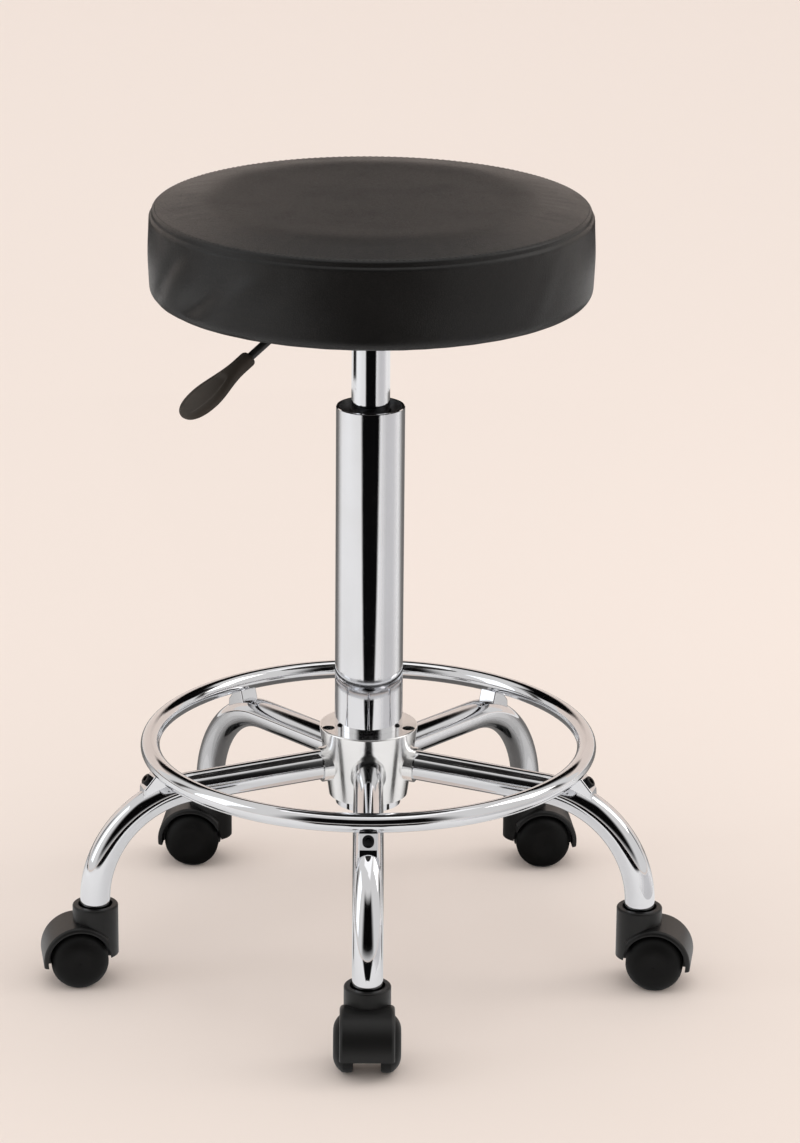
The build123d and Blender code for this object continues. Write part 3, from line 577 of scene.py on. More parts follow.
def repeated(faces: np.ndarray, count: int, size: int) -> np.ndarray:
    """Faces of one piece, repeated for that many copies with that many points each."""
    shift = (np.arange(count) * size)[:, None, None]
    return (faces[None] + shift).reshape(-1, faces.shape[1])


def mesh_piece(name: str, points: np.ndarray, faces: Sequence[np.ndarray],
               finish: Finish) -> bpy.types.Object:
    """Mesh object at the origin from arrays of points and faces.

    Args:
        name: Name of the piece.
        points: Array of points, one row each.
        faces: Arrays of corner indices, one array for each count of corners.
        finish: Finish of the piece.

    Returns:
        The new object, smooth shaded.
    """
    mesh = bpy.data.meshes.new(name)
    mesh.from_pydata(points.reshape(-1, 3).tolist(), [], [face for block in faces for face in block.tolist()])
    mesh.shade_smooth()
    mesh.materials.append(finish.material())
    piece = bpy.data.objects.new(name, mesh)
    bpy.context.scene.collection.objects.link(piece)
    return piece


def smooth_step(value: np.ndarray, low: float, high: float) -> np.ndarray:
    """Cubic rise from 0 at low to 1 at high."""
    share = np.clip((value - low) / (high - low), 0.0, 1.0)
    return share * share * (3.0 - 2.0 * share)


def soft_edges(share: np.ndarray, soft: float) -> np.ndarray:
    """Cover that rises from 0 to 1 over that share of the width at either side."""
    return smooth_step(share, 0.0, soft) * (1 - smooth_step(share, 1 - soft, 1.0))


def bell(value: np.ndarray, width: float) -> np.ndarray:
    """Bell curve exp(-(value / width) ** 2)."""
    return np.exp(-(value / width) ** 2)


def round_end(share: np.ndarray, inner: float, outer: float) -> np.ndarray:
    """Fall from 1 to 0 on a round end, as (1 - share ** inner) ** (1 / outer)."""
    return np.maximum(1 - share ** inner, 0.0) ** (1 / outer)


def squared_off(wave: np.ndarray, power: float) -> np.ndarray:
    """A sine or cosine raised to 2 / power with its sign kept, for a superellipse of that power."""
    return np.sign(wave) * np.abs(wave) ** (2.0 / power)


def run_length(line: np.ndarray) -> np.ndarray:
    """Distance of each point of a polyline from its start."""
    return np.concatenate([[0.0], np.cumsum(np.linalg.norm(np.diff(line, axis=0), axis=1))])


def point_at(line: np.ndarray, stations: np.ndarray) -> np.ndarray:
    """Points of a polyline in the plane at distances along it."""
    length = run_length(line)
    return np.stack([np.interp(stations, length, line[:, axis]) for axis in (0, 1)], -1)


def rounded(corners: np.ndarray, radii: Sequence[float], steps: int = 16) -> np.ndarray:
    """Polyline with an arc at each inner corner.

    The arc touches both runs at radius / tan(half angle) from the corner, about a centre on the bisector.

    Args:
        corners: Points of the polyline in the plane.
        radii: Radius at each inner corner.
        steps: Points on an arc.

    Returns:
        Points of the rounded line.
    """
    parts = [corners[:1]]
    for before, corner, after, radius in zip(corners[:-2], corners[1:-1], corners[2:], radii):
        back = (before - corner) / np.linalg.norm(before - corner)
        ahead = (after - corner) / np.linalg.norm(after - corner)
        half = 0.5 * math.acos(float(back @ ahead))
        middle = (back + ahead) / np.linalg.norm(back + ahead)
        centre = corner + middle * radius / math.sin(half)
        spread = np.linspace(-1.0, 1.0, steps)[:, None] * (math.pi / 2 - half)
        across = np.array([-middle[1], middle[0]]) * math.copysign(1.0, float(np.cross(middle, ahead)))
        parts.append(centre + radius * (-middle * np.cos(spread) + across * np.sin(spread)))
    return np.concatenate(parts + [corners[-1:]])


def disc_points(count: int) -> tuple[np.ndarray, np.ndarray, np.ndarray]:
    """Unit disc covered by a square grid, and the order of the grid points along its rim.

    A grid point (a, b) keeps its larger coordinate as radius. The smaller one over it, times 45 degrees, is
    its angle from the nearer axis, so cells stay even and the rim points are evenly turned.

    Args:
        count: Cells along a side.

    Returns:
        Points in the plane, rim indices from minus 135 degrees anticlockwise, and quads.
    """
    a, b = np.meshgrid(np.linspace(-1, 1, count + 1), np.linspace(-1, 1, count + 1), indexing="xy")
    wide = np.abs(a) > np.abs(b)
    radius = np.where(wide, a, b)
    safe = np.where(np.abs(radius) < TINY, 1.0, radius)
    angle = np.where(wide, math.pi / 4 * b / safe, math.pi / 2 - math.pi / 4 * a / safe)
    points = np.stack([radius * np.cos(angle), radius * np.sin(angle)], -1).reshape(-1, 2)
    index = np.arange((count + 1) ** 2).reshape(count + 1, count + 1)
    rim = np.concatenate([index[0, :-1], index[:-1, -1], index[-1, :0:-1], index[:0:-1, 0]])
    return points, rim, grid_faces(count + 1, count + 1, False)


@dataclass(frozen=True)
class Wave:
    """Sine wave round the seat, with its phase pushed to and fro by a slower wave where it has one."""

    count: int
    phase: float = 0.0
    push: float = 0.0
    slower: Optional["Wave"] = None

    def at(self, angle: np.ndarray) -> np.ndarray:
        """Sine of count * angle + phase + push * slower wave."""
        pushed = self.push * self.slower.at(angle) if self.slower else 0.0
        return np.sin(self.count * angle + self.phase + pushed)


@dataclass(frozen=True)
class Fold:
    """Long slanting fold of the side band: a bell across it, beside a fainter one of the other sign."""

    start: float
    slope: float
    rise: float
    width: float
    echo: float = 0.3
    echo_place: float = 2.2

    def height(self, angle: np.ndarray, down: np.ndarray) -> np.ndarray:
        """Height of the fold before it fades at its ends.

        Args:
            angle: Angle about the pad at each point.
            down: Share of the way from the seam to the lower edge at each point.

        Returns:
            Height along the outward normal at each point.
        """
        across = (angle - self.start - self.slope * down + math.pi) % (2 * math.pi) - math.pi
        beside = across - self.echo_place * self.width
        return self.rise * (bell(across, self.width) - self.echo * bell(beside, self.width))


FOLDS = (
    Fold(-2.12, -0.52, -0.0028, 0.080), Fold(-2.52, -0.40, -0.0014, 0.055),
    Fold(-1.86, -0.40, -0.0008, 0.070), Fold(-0.62, -0.22, 0.0004, 0.050),
    Fold(0.9, 0.25, 0.0006, 0.050), Fold(2.3, -0.3, 0.0006, 0.050))
CLOTH_SETTINGS = {
    "quality": 5, "mass": 0.3, "tension_stiffness": 40.0, "compression_stiffness": 40.0,
    "shear_stiffness": 20.0, "bending_stiffness": 4.0, "use_pressure": True, "uniform_pressure_force": 4.0}


@dataclass
class Pad:
    """Round seat pad: a top panel sewn to a side band that is drawn down and under the board."""

    radius: float = 0.160
    bottom: float = 0.505
    top: float = 0.575
    crown: float = 0.006
    shoulder: float = 0.034
    draw: float = 0.0015
    shoulder_round: float = 0.070
    side_swell: float = 0.180
    edge_round: float = 0.007
    bottom_round: float = 0.009
    flap: float = 0.034
    skin: float = 0.0012
    panel: float = 0.148
    seam_drop: float = 0.0030
    slack: float = 0.0012
    swell: float = 0.0018
    cells: int = 64
    rows: tuple[int, ...] = (18, 20, 12, 6)
    past_seam: float = 0.005
    turn_above: float = 0.016
    turn_below: float = 0.002
    slack_fade: tuple[float, float] = (0.085, 0.135)
    seam_hold: tuple[float, float] = (0.003, 0.012)
    edge_hold: float = 0.012
    frames: int = 20
    seam_depth: float = 0.0015
    seam_width: float = 0.0017
    roll_rise: float = 0.00010
    roll_place: float = 0.0042
    roll_width: float = 0.0018
    pucker_rise: float = 0.00018
    pucker_start: float = 0.0018
    pucker_reach: float = 0.006
    pleat_rise: float = 0.00030
    pleat_place: float = 0.003
    pleat_width: float = 0.005
    relief_end: float = 0.004
    uneven: tuple[Wave, Wave] = (Wave(5, 1.3), Wave(11, 0.4))
    uneven_share: float = 0.4
    pucker: Wave = Wave(63, push=2.2, slower=Wave(7))
    pleat: Wave = Wave(47, push=3.0, slower=Wave(5, 0.7))
    fold_start: tuple[float, float] = (0.04, 0.35)
    fold_end: tuple[float, float] = (0.62, 0.98)
    stitch: float = 0.0046
    stitch_share: float = 0.36
    stitch_place: float = 0.0052
    stitch_sink: float = 0.00012
    stitch_bow: float = 0.00016
    stitch_tip: float = 0.02
    stitch_rows: int = 7
    stitch_sides: int = 6
    thread: float = 0.00034

    def outline(self) -> np.ndarray:
        """Half section of the pad, from the middle of the top to the inner edge of the flap.

        Returns:
            Radius and height, one row for each point.
        """
        edge = self.top - self.crown
        side = self.radius - self.draw
        flat = self.radius - self.shoulder
        hem = self.radius - self.flap
        corners = np.array([
            (0.0, self.top), (flat, self.top), (side, edge), (self.radius, 0.5 * (self.bottom + edge)),
            (side, self.bottom), (hem, self.bottom)])
        line = rounded(corners, (self.shoulder_round, self.edge_round, self.side_swell, self.bottom_round))
        return np.concatenate([line, [(hem, self.bottom + self.skin)]])

    def along(self, stations: np.ndarray) -> tuple[np.ndarray, np.ndarray]:
        """Points and outward normals of the outline at distances along it.

        Args:
            stations: Distances from the middle of the top.

        Returns:
            Points and normals in the plane of radius and height.
        """
        line = self.outline()
        step = 2e-4
        run = point_at(line, stations + step) - point_at(line, stations - step)
        run /= np.maximum(np.linalg.norm(run, axis=1), TINY)[:, None]
        return point_at(line, stations), np.stack([-run[:, 1], run[:, 0]], -1)

    def marks(self) -> dict[str, float]:
        """Places along the outline.

        Returns:
            Distances of the panel rim, the seam, the lower edge and both edges of the flap.
        """
        line = self.outline()
        length = run_length(line)
        end = float(length[-1])
        hem = end - self.skin
        low = hem - (self.flap - self.draw - self.bottom_round)
        outer = int(np.argmax(line[:, 1] < self.top - self.crown - self.seam_drop))
        panel = float(np.interp(self.panel, line[:outer, 0], length[:outer]))
        return {"panel": panel, "seam": float(length[outer]), "low": low, "hem": hem, "end": end}

    def stations(self) -> np.ndarray:
        """Rows of the band, close together at the seam and the lower edge.

        Returns:
            Distance of each row along the outline.
        """
        mark = self.marks()
        stops = (mark["panel"], mark["seam"] + self.past_seam, mark["low"] - self.turn_above,
                 mark["low"] + self.turn_below, mark["hem"])
        parts = [np.linspace(*run, endpoint=False) for run in zip(stops[:-1], stops[1:], self.rows)]
        return np.concatenate(parts + [np.array([mark["hem"], mark["end"]])])

    def relief(self, station: np.ndarray, angle: np.ndarray) -> np.ndarray:
        """Height of the sewn detail over the swollen form.

        The seam is a bell shaped groove with a faint roll on either side. Fine puckers start beside it and
        die out with distance, small pleats follow the lower edge, and the folds cross the band between them.

        Args:
            station: Distance along the outline at each point.
            angle: Angle about the pad at each point.

        Returns:
            Height along the outward normal at each point.
        """
        mark = self.marks()
        off = station - mark["seam"]
        away = np.abs(off)
        height = self.roll_rise * bell(away - self.roll_place, self.roll_width)
        height -= self.seam_depth * bell(off, self.seam_width)
        first, second = self.uneven
        uneven = 1 - self.uneven_share + self.uneven_share * first.at(angle) * second.at(angle)
        pucker = self.pucker.at(angle) * uneven * (away > self.pucker_start)
        height += self.pucker_rise * pucker * np.exp(-away / self.pucker_reach)
        edge = station - mark["low"] - self.pleat_place
        height += self.pleat_rise * self.pleat.at(angle) * bell(edge, self.pleat_width)
        down = off / (mark["low"] - mark["seam"])
        fade = smooth_step(down, *self.fold_start) * (1 - smooth_step(down, *self.fold_end))
        height += fade * sum(fold.height(angle, down) for fold in FOLDS)
        return height * (station < mark["low"] + self.relief_end)

    def inflate(self, pad: bpy.types.Object, sewn: np.ndarray) -> np.ndarray:
        """Swells the pad with a cloth under pressure, held where it is sewn or stapled.

        Args:
            pad: The pad at its slack size.
            sewn: Hold of each point, from 0, free, to 1, fixed.

        Returns:
            Points of the swollen pad, none further than the swell from where it was.
        """
        rest = np.empty(len(pad.data.vertices) * 3)
        pad.data.vertices.foreach_get("co", rest)
        rest = rest.reshape(-1, 3)
        group = pad.vertex_groups.new(name="sewn")
        hold = np.round(sewn, 2)
        for level in np.unique(hold):
            group.add(np.flatnonzero(hold == level).tolist(), float(level), "REPLACE")
        cloth = pad.modifiers.new("fill", "CLOTH")
        for key, value in CLOTH_SETTINGS.items():
            setattr(cloth.settings, key, value)
        cloth.settings.vertex_group_mass = "sewn"
        cloth.settings.effector_weights.gravity = 0.0
        cloth.point_cache.frame_start, cloth.point_cache.frame_end = 1, self.frames
        scene = bpy.context.scene
        for step in range(1, self.frames + 1):
            scene.frame_set(step)
        made = pad.evaluated_get(bpy.context.evaluated_depsgraph_get())
        full = np.empty(rest.size)
        made.data.vertices.foreach_get("co", full)
        scene.frame_set(1)
        pad.modifiers.remove(cloth)
        pad.vertex_groups.remove(group)
        move = full.reshape(-1, 3) - rest
        size = np.maximum(np.linalg.norm(move, axis=1), TINY)
        return rest + move * (self.swell * (1 - np.exp(-size / self.swell)) / size)[:, None]

    def build(self) -> bpy.types.Object:
        """Makes the pad: an even disc of cells for the top panel, rings for the band and the flap.

        Returns:
            The pad, closed by a flat disc inside the board.
        """
        mark = self.marks()
        flat, rim, quads = disc_points(self.cells)
        reach = np.linalg.norm(flat, axis=1)
        bearing = np.arctan2(flat[:, 1], flat[:, 0])
        rows = self.stations()
        turn = bearing[rim]
        station = np.concatenate([reach * mark["panel"], np.repeat(rows[1:], rim.size)])
        angle = np.concatenate([bearing, np.tile(turn, rows.size - 1)])
        point, normal = self.along(station)
        out = np.stack([np.cos(angle), np.sin(angle)], -1)
        outward = np.concatenate([out * normal[:, :1], normal[:, 1:]], 1)
        shape = np.concatenate([out * point[:, :1], point[:, 1:]], 1)
        near = np.abs(station - mark["seam"])
        edge = smooth_step(station, mark["low"] - self.edge_hold, mark["low"])
        sewn = np.maximum(1 - smooth_step(near, *self.seam_hold), edge)
        slack = shape - outward * (self.slack * (1 - smooth_step(station, *self.slack_fade)))[:, None]
        below = np.arange((rows.size - 1) * rim.size).reshape(-1, rim.size)
        ring = np.concatenate([rim[None, :], flat.shape[0] + below])
        after = np.roll(ring, -1, 1)
        band = np.stack([ring[:-1], ring[1:], after[1:], after[:-1]], -1).reshape(-1, 4)
        cap = np.stack([ring[-1], np.full(rim.size, slack.shape[0]), after[-1]], -1)
        centre = np.array([[0.0, 0.0, self.bottom + self.skin]])
        pad = mesh_piece("seat_pad", np.concatenate([slack, centre]), [quads, band, cap], LEATHER)
        held = np.concatenate([sewn, [1.0]])
        points = self.inflate(pad, held)
        points[:-1] += outward * self.relief(station, angle)[:, None]
        pad.data.vertices.foreach_set("co", points.astype(np.float32).ravel())
        pad.data.update()
        finer = pad.modifiers.new("finer", "SUBSURF")
        finer.levels = finer.render_levels = 1
        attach(pad, "seat")
        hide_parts("seat_cover", "seat_foam")
        return pad

    def stitches(self) -> bpy.types.Object:
        """Row of stitches just inside the seam, each a short bowed tube half sunk in the leather.

        Along a stitch the line bows as 1 - t * t, and the tube's radius falls off as the root of that.

        Returns:
            All stitches as one piece.
        """
        mark = self.marks()
        (point,), (normal,) = self.along(np.array([mark["seam"] - self.stitch_place]))
        count = int(round(2 * math.pi * point[0] / self.stitch))
        start = np.arange(count) * 2 * math.pi / count
        t = np.linspace(-1.0, 1.0, self.stitch_rows)[:, None]
        turn = np.arange(self.stitch_sides) * 2 * math.pi / self.stitch_sides
        bow = 1 - t * t
        thick = self.thread * np.sqrt(np.maximum(bow, self.stitch_tip))
        lift = self.stitch_bow * bow - self.stitch_sink + thick * np.sin(turn)
        side = thick * np.cos(turn)
        radius = point[0] + normal[0] * lift - normal[1] * side
        height = point[1] + normal[1] * lift + normal[0] * side
        angle = start[:, None, None] + t * self.stitch_share * self.stitch / point[0]
        ring = (radius * np.cos(angle), radius * np.sin(angle), height)
        points = np.stack(np.broadcast_arrays(*ring), -1)
        tube = (grid_faces(t.size, turn.size, True), end_caps(t.size, turn.size))
        faces = [repeated(part, count, t.size * turn.size)[:, ::-1] for part in tube]
        row = mesh_piece("seat_stitches", points, faces, THREAD)
        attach(row, "seat")
        return row


@dataclass
class Underside:
    """Board, dust cloth, staples, plate and bolts under the seat."""

    radius: float = 0.143
    high: float = 0.505
    low: float = 0.5044
    cells: int = 48
    wall: float = 0.0004
    sag: float = 0.0002
    scallop: float = 0.0009
    sag_span: tuple[float, float] = (0.66, 0.98)
    rim_draw: float = 0.010
    rim_span: tuple[float, float] = (0.93, 1.0)
    drift: tuple[Wave, Wave] = (Wave(3, 0.8), Wave(7))
    staples: int = 30
    staple_circle: float = 0.1375
    crown: float = 0.0100
    crown_clear: float = 0.0003
    wire: float = 0.0006
    wire_flat: float = 1.8
    drive: float = 0.0030
    tilt: float = 0.10
    tilt_step: float = 2.4

    def dress(self) -> None:
        """Finishes of the solids under the seat."""
        dress(PLYWOOD, "seat_board")
        dress(ZINC, "tee_nuts", "seat_bolts", "seat_washers")
        dress(PLATE_PAINT, "seat_plate", "taper_socket")

    def cloth(self) -> bpy.types.Object:
        """Dust cloth stretched under the board: flat over the plate, in soft scallops between its staples.

        The sag is a smooth step towards the rim times a wave with one low between two staples, and the rim
        draws in by the same wave.

        Returns:
            The cloth with its thickness.
        """
        flat, _, quads = disc_points(self.cells)
        reach = np.linalg.norm(flat, axis=1)
        angle = np.arctan2(flat[:, 1], flat[:, 0])
        wave = 0.5 - 0.5 * np.cos(self.staples * angle)
        first, second = self.drift
        drift = 0.5 + 0.5 * first.at(angle) * second.at(angle)
        sag = smooth_step(reach, *self.sag_span) * (self.sag + self.scallop * wave * drift)
        edge = 1 - self.rim_draw * wave * smooth_step(reach, *self.rim_span)
        plane = flat * (self.radius * edge)[:, None]
        points = np.concatenate([plane, (0.5 * (self.high + self.low) - sag)[:, None]], 1)
        cloth = mesh_piece("dust_cloth", points, [quads[:, ::-1]], DUST_CLOTH)
        wall = cloth.modifiers.new("wall", "SOLIDIFY")
        wall.thickness, wall.offset = self.wall, 0.0
        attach(cloth, "seat")
        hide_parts("dust_cover")
        return cloth

    def staple_row(self) -> bpy.types.Object:
        """Staples round the cloth, each a flat wire carried along a leg, the crown and a leg.

        Returns:
            All staples as one piece.
        """
        half = 0.5 * self.crown
        under = self.low - self.crown_clear
        sunk = self.high + self.drive
        corners = np.array([(-half, sunk), (-half, under), (half, under), (half, sunk)])
        path = rounded(corners, (self.wire, self.wire), 4)
        run = np.gradient(path, axis=0)
        run /= np.linalg.norm(run, axis=1)[:, None]
        side = np.stack([-run[:, 1], run[:, 0]], -1)
        corner = 0.5 * self.wire * np.array([(-1, -1), (1, -1), (1, 1), (-1, 1)])
        along = path[:, None, 0] + side[:, None, 0] * corner[None, :, 0]
        height = path[:, None, 1] + side[:, None, 1] * corner[None, :, 0]
        outward = np.broadcast_to(corner[None, :, 1] * self.wire_flat, along.shape)
        one = np.stack([along, outward, height], -1).reshape(-1, 3)
        number = np.arange(self.staples)[:, None]
        angle = number * 2 * math.pi / self.staples
        tilt = self.tilt * np.sin(number * self.tilt_step)
        x = one[None, :, 0] * np.cos(tilt) - one[None, :, 1] * np.sin(tilt)
        y = one[None, :, 0] * np.sin(tilt) + one[None, :, 1] * np.cos(tilt) + self.staple_circle
        points = np.stack([y * np.cos(angle) - x * np.sin(angle), y * np.sin(angle) + x * np.cos(angle),
                           np.broadcast_to(one[None, :, 2], x.shape)], -1)
        quads = repeated(grid_faces(path.shape[0], 4, True), self.staples, one.shape[0])
        row = mesh_piece("dust_cloth_staples", points, [quads], ZINC)
        row.data.shade_flat()
        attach(row, "seat")
        return row


@dataclass
class Lever:
    """Release lever: bent rod, pivot pin, valve pin and moulded grip."""

    azimuth: float = -145.0
    bend: float = 0.0680
    axis: float = 0.4970
    droop: float = 32.0
    start: float = 0.0430
    length: float = 0.0660
    neck: float = 0.0060
    wide: float = 0.0150
    thick: float = 0.00525
    dish: float = 0.0011
    rim: float = 0.0022
    power: float = 2.6
    lead: float = 0.82
    lead_rise: float = 0.18
    lead_end: float = 0.03
    widen: tuple[float, float] = (0.16, 0.68)
    close_start: float = 0.66
    close_length: float = 0.34
    width_close: tuple[float, float] = (2.4, 2.2)
    depth_close: tuple[float, float] = (3.2, 2.4)
    panel_edge: float = 0.72
    panel_least: float = 1e-4
    dish_start: tuple[float, float] = (0.34, 0.42)
    dish_end: tuple[float, float] = (0.90, 0.96)
    tip_start: float = 0.72
    body_rows: int = 40
    tip_rows: int = 26
    sides: int = 64

    def dress(self) -> None:
        """Finishes of the lever's solids."""
        dress(BLACK_ROD, "lever_rod")
        dress(BRIGHT_STEEL, "lever_pin", "release_pin")

    def grip(self) -> bpy.types.Object:
        """Paddle grip with a rolled rim round a dished panel on both faces.

        Across, each section is a superellipse. Its half width goes from the neck to the wide part on a
        cubic, and width and depth close on the round end. The dish is a smooth mask times its depth.

        Returns:
            The grip in place of its solid.
        """
        body = np.linspace(0.0, self.tip_start, self.body_rows, endpoint=False)
        tip = np.sin(np.linspace(0, math.pi / 2, self.tip_rows))
        t = np.concatenate([body, self.tip_start + (1 - self.tip_start) * tip])
        phi = np.arange(self.sides) * 2 * math.pi / self.sides
        end = np.clip((t - self.close_start) / self.close_length, 0.0, 1.0)
        lead = self.lead + self.lead_rise * np.sqrt(np.clip(t / self.lead_end, 0.0, 1.0))
        half = self.neck + (self.wide - self.neck) * smooth_step(t, *self.widen)
        half = half * round_end(end, *self.width_close) * lead
        deep = self.thick * round_end(end, *self.depth_close) * lead
        across = half[:, None] * squared_off(np.cos(phi), self.power)[None, :]
        height = deep[:, None] * squared_off(np.sin(phi), self.power)[None, :]
        inner = np.abs(across) / np.maximum(half - self.rim, self.panel_least)[:, None]
        panel = 1 - smooth_step(inner, self.panel_edge, 1.0)
        ends = smooth_step(t, *self.dish_start) * (1 - smooth_step(t, *self.dish_end))
        height -= self.dish * panel * ends[:, None] * np.sign(height)
        droop = math.radians(self.droop)
        reach = self.start + t * self.length
        x = self.bend + reach[:, None] * math.cos(droop) + height * math.sin(droop)
        z = self.axis - reach[:, None] * math.sin(droop) + height * math.cos(droop)
        turn = math.radians(self.azimuth)
        cos, sin = math.cos(turn), math.sin(turn)
        points = np.stack([x * cos - across * sin, x * sin + across * cos, z], -1)
        faces = [grid_faces(t.size, self.sides, True), end_caps(t.size, self.sides)]
        grip = mesh_piece("lever_paddle", points, faces, GRIP_PLASTIC)
        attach(grip, "lever")
        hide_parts("lever_grip")
        return grip


@dataclass
class GasLift:
    """Column, bush, gas cylinder and the parts inside them."""

    def dress(self) -> None:
        """Finishes of the lift's solids."""
        dress(TUBE_CHROME, "column_tube", "gas_cylinder")
        dress(BUSH_PLASTIC, "guide_bush", "rod_gland", "piston")
        dress(BRIGHT_STEEL, "piston_rod", "rod_clip")
        dress(BRIGHT_STEEL, "bearing_lower_race", "bearing_upper_race", "bearing_balls")
        dress(RUBBER, "bump_ring", "piston_seal")
        dress(VALVE_ALLOY, "valve_body")


@dataclass
class Base:
    """Hub, legs, foot ring and their fasteners."""

    def dress(self) -> None:
        """Finishes of the base's solids."""
        dress(HUB_CHROME, "hub")
        dress(CHROME, "foot_ring", "ring_lugs", *(f"leg_{leg.value}" for leg in Leg))
        dress(BLACK_SCREW, "hub_screws", "ring_screws")
        dress(ZINC, "nut_plugs")
        dress(BUSH_PLASTIC, "stem_sockets")


@dataclass
class Casters:
    """Five casters with a hood, an axle and two wheels each."""

    def dress(self) -> None:
        """Finishes of the casters' solids."""
        dress(BRIGHT_STEEL, "caster_stems", "grip_rings", *(f"caster_axle_{leg.value}" for leg in Leg))
        dress(HOOD_PLASTIC, *(f"caster_hood_{leg.value}" for leg in Leg))
        dress(WHEEL_PLASTIC, *(f"wheel_{leg.value}_{side}" for leg in Leg for side in "ab"))


@dataclass
class Studio:
    """Paper sweep, soft boxes, dark and pale cards for the chrome, and the camera."""

    reach: float = 12.0
    cove: float = 3.0
    behind: float = 9.0
    wall: float = 8.0
    cove_steps: int = 24
    card_columns: int = 33
    card_rows: int = 17
    distance: float = 3.05445
    height: float = 1.31735
    aside: float = -0.00642
    pitch: float = 0.32279
    yaw: float = 0.00939
    roll: float = 0.00889
    lens: float = FOCAL_PIXELS / PHOTO_HEIGHT_PIXELS * SENSOR
    aim: tuple[float, float, float] = (0.0, 0.0, 0.30)
    pale: Colour = linear(236, 234, 232)
    pale_strength: float = 0.95
    fill: Colour = (1.0, 0.975, 0.95, 1.0)
    fill_strength: float = 0.97

    def card(self, name: str, finish: Finish, points: np.ndarray, fade: np.ndarray) -> None:
        """Puts a card in place that only mirrors see.

        Args:
            name: Name of the card.
            finish: Finish of the card.
            points: Grid of points.
            fade: Cover at each point, from 0, clear, to 1, full.
        """
        piece = mesh_piece(name, points, [grid_faces(*fade.shape, False)], finish)
        cover = piece.data.attributes.new("fade", "FLOAT", "POINT")
        cover.data.foreach_set("value", fade.astype(np.float32).ravel())
        piece.visible_camera = piece.visible_diffuse = piece.visible_shadow = False
        piece.visible_transmission = piece.visible_volume_scatter = False
        log.info("card %s", name)

    def sweep(self) -> None:
        """Floor that curves up into the wall: a rounded profile carried along X."""
        corners = np.array([(-self.reach, 0.0), (self.behind, 0.0), (self.behind, self.wall)])
        profile = rounded(corners, (self.cove,), self.cove_steps)
        x, station = np.meshgrid(np.linspace(-self.reach, self.reach, 3), np.arange(len(profile)))
        points = np.concatenate([x[..., None], profile[station]], -1)
        mesh_piece("backdrop_sweep", points, [grid_faces(*x.shape, False)], PAPER)

    def floor_card(self, name: str, finish: Finish, apex: float, middle: float, half: float,
                   near: float, far: float, soft: float = 0.3, level: float = 0.0015) -> None:
        """Card on the floor: a sector about a point on the Y axis, soft at its two sides.

        Args:
            name: Name of the card.
            finish: Finish of the card.
            apex: Place of the sector's point along Y.
            middle: Bearing of its middle in degrees.
            half: Half its spread in degrees.
            near: Inner radius.
            far: Outer radius.
            soft: Share of the spread that fades at either side.
            level: Height over the floor.
        """
        columns = np.linspace(0.0, 1.0, self.card_columns)
        share, radius = np.meshgrid(columns, np.array([near, far]), indexing="ij")
        angle = np.radians(middle + half * (2 * share - 1))
        height = np.full_like(angle, level)
        points = np.stack([radius * np.cos(angle), apex + radius * np.sin(angle), height], -1)
        self.card(name, finish, points, soft_edges(share, soft))

    def dome_card(self, name: str, finish: Finish, middle: float, half: float, low: float, high: float,
                  soft: float = 0.2, away: float = 4.4) -> None:
        """Card on a dome about the stool, soft all round.

        Args:
            name: Name of the card.
            finish: Finish of the card.
            middle: Bearing of its middle in degrees.
            half: Half its spread in degrees.
            low: Lower elevation in degrees.
            high: Upper elevation in degrees.
            soft: Share of its width and height that fades at each side.
            away: Radius of the dome.
        """
        columns, rows = np.linspace(0.0, 1.0, self.card_columns), np.linspace(0.0, 1.0, self.card_rows)
        share, lift = np.meshgrid(columns, rows, indexing="ij")
        angle = np.radians(middle + half * (2 * share - 1))
        rise = np.radians(low + (high - low) * lift)
        level = np.cos(rise)
        points = away * np.stack([np.cos(angle) * level, np.sin(angle) * level, np.sin(rise)], -1)
        self.card(name, finish, points, soft_edges(share, soft) * soft_edges(lift, soft))

    def softbox(self, name: str, place: Sequence[float], size: tuple[float, float], power: float,
                colour: Sequence[float] = (1.0, 1.0, 1.0)) -> None:
        """Rectangular lamp, turned to the middle of the stool.

        Args:
            name: Name of the lamp.
            place: Where it stands.
            size: Its width and height.
            power: Its power in watts.
            colour: Its colour.
        """
        lamp = bpy.data.lights.new(name, "AREA")
        lamp.shape = "RECTANGLE"
        lamp.size, lamp.size_y = size
        lamp.energy = power
        lamp.color = colour
        made = bpy.data.objects.new(name, lamp)
        bpy.context.scene.collection.objects.link(made)
        made.location = tuple(place)
        made.rotation_mode = "QUATERNION"
        made.rotation_quaternion = (Vector(self.aim) - Vector(place)).to_track_quat("-Z", "Y")

    def world(self) -> None:
        """Pale surroundings for the camera and mirrors, and an even dimmer fill for the light."""
        made = bpy.data.worlds.new("surroundings")
        bpy.context.scene.world = made
        made.use_nodes = True
        graph = Graph(made.node_tree)
        camera = graph.node("ShaderNodeLightPath", None, None, "Is Camera Ray")
        glossy = graph.node("ShaderNodeLightPath", None, None, "Is Glossy Ray")
        through = graph.node("ShaderNodeLightPath", None, None, "Is Transmission Ray")
        seen = camera.greatest(glossy).greatest(through)
        pale = graph.node("ShaderNodeBackground", None, {"Color": self.pale, "Strength": self.pale_strength})
        fill = graph.node("ShaderNodeBackground", None, {"Color": self.fill, "Strength": self.fill_strength})
        both = graph.node("ShaderNodeMixShader", None, {0: seen, 1: fill, 2: pale})
        graph.node("ShaderNodeOutputWorld", None, {"Surface": both})

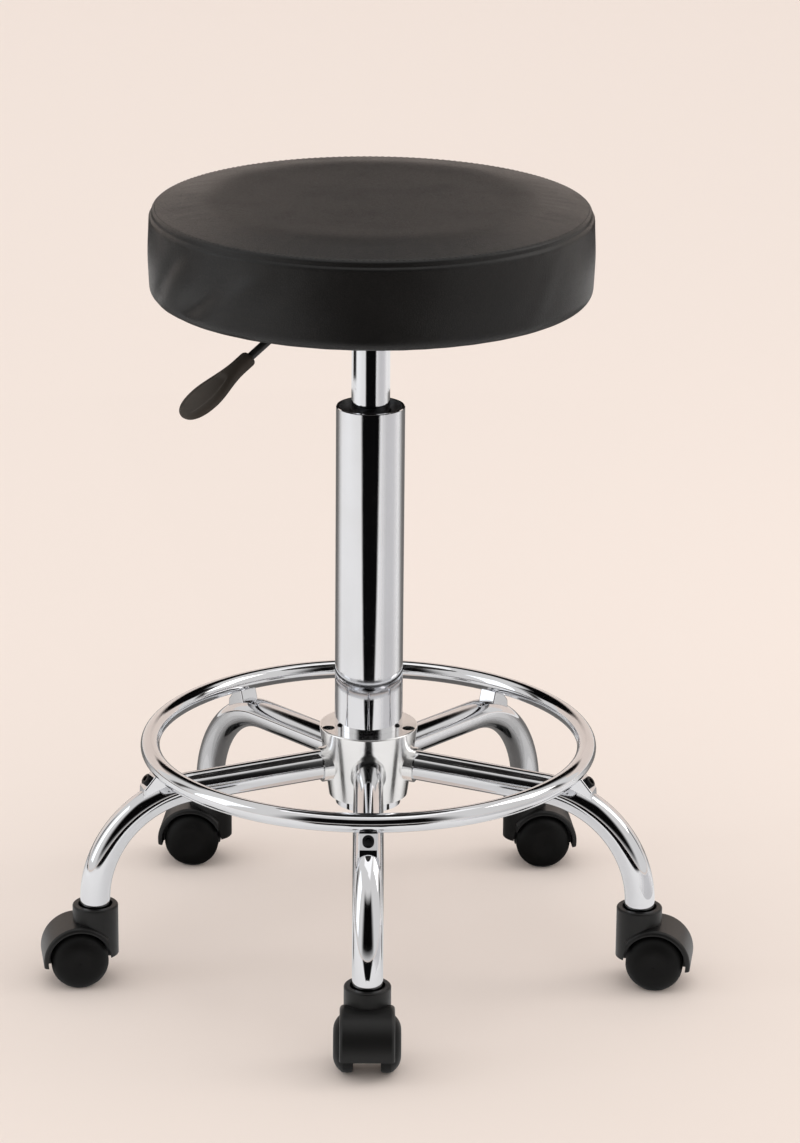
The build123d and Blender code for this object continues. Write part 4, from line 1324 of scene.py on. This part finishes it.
    def camera(self) -> None:
        """Camera at the photograph's place, with no shift and no depth of field."""
        data = bpy.data.cameras.new("camera")
        data.sensor_fit = "AUTO"
        data.sensor_width = SENSOR
        data.lens = self.lens
        made = bpy.data.objects.new("camera", data)
        bpy.context.scene.collection.objects.link(made)
        turn = (Matrix.Rotation(-self.yaw, 4, "Z") @ Matrix.Rotation(math.pi / 2 - self.pitch, 4, "X")
                @ Matrix.Rotation(self.roll, 4, "Z"))
        made.matrix_world = Matrix.Translation((self.aside, -self.distance, self.height)) @ turn
        bpy.context.scene.camera = made

    def build(self) -> None:
        """Sets the stage."""
        bpy.context.scene.view_settings.view_transform = "Standard"
        self.sweep()
        self.floor_card("card_white_floor", WHITE_CARD, apex=0.0, middle=-90.0, half=180.0,
                        near=0.06, far=3.0, soft=0.05, level=0.0005)
        self.floor_card("card_right_floor", PALE_CARD, apex=0.0, middle=-20.0, half=44.0,
                        near=0.42, far=2.4, soft=0.4, level=0.0010)
        self.floor_card("card_front_floor", BLACK_CARD, apex=-0.35, middle=-90.0, half=45.0,
                        near=0.07, far=3.2, soft=0.13)
        self.floor_card("card_back_floor", MIDDLE_CARD, apex=0.0, middle=88.0, half=77.0,
                        near=0.06, far=1.5, soft=0.24, level=0.0020)
        self.floor_card("card_far_left", BLACK_CARD, apex=0.0, middle=158.0, half=24.0,
                        near=1.55, far=3.6, soft=0.35)
        self.dome_card("card_front", BLACK_CARD, middle=-90.0, half=50.0, low=-2.0, high=60.0)
        self.dome_card("card_back", BLACK_CARD, middle=90.0, half=14.0, low=25.0, high=60.0,
                       soft=0.3, away=1.6)
        self.dome_card("card_back_low", BLACK_CARD, middle=90.0, half=68.0, low=37.0, high=56.0,
                       soft=0.15, away=0.68)
        self.dome_card("card_left", DARK_CARD, middle=163.0, half=7.0, low=0.0, high=40.0, soft=0.4)
        self.dome_card("card_right", DARK_CARD, middle=17.0, half=7.0, low=0.0, high=40.0, soft=0.4)
        self.softbox("top_light", place=(0.1, 0.2, 2.7), size=(2.0, 1.6), power=5.0)
        self.softbox("right_light", place=(1.6, 0.25, 1.5), size=(0.7, 1.2), power=5.5,
                     colour=(1.0, 0.95, 0.91))
        self.softbox("left_light", place=(-1.7, -0.3, 0.95), size=(0.7, 1.5), power=3.0,
                     colour=(0.88, 0.94, 1.0))
        self.world()
        self.camera()


def main() -> None:
    """Builds the stage and the stool's pieces in order."""
    logging.basicConfig(level=logging.INFO, format="%(name)s %(message)s")
    Studio().build()
    Base().dress()
    Casters().dress()
    GasLift().dress()
    lever = Lever()
    lever.dress()
    under = Underside()
    under.dress()
    pad = Pad()
    for piece in (lever.grip(), under.cloth(), under.staple_row(), pad.build(), pad.stitches()):
        log.info("piece %s, %d points", piece.name, len(piece.data.vertices))


if __name__ == "__main__":
    main()
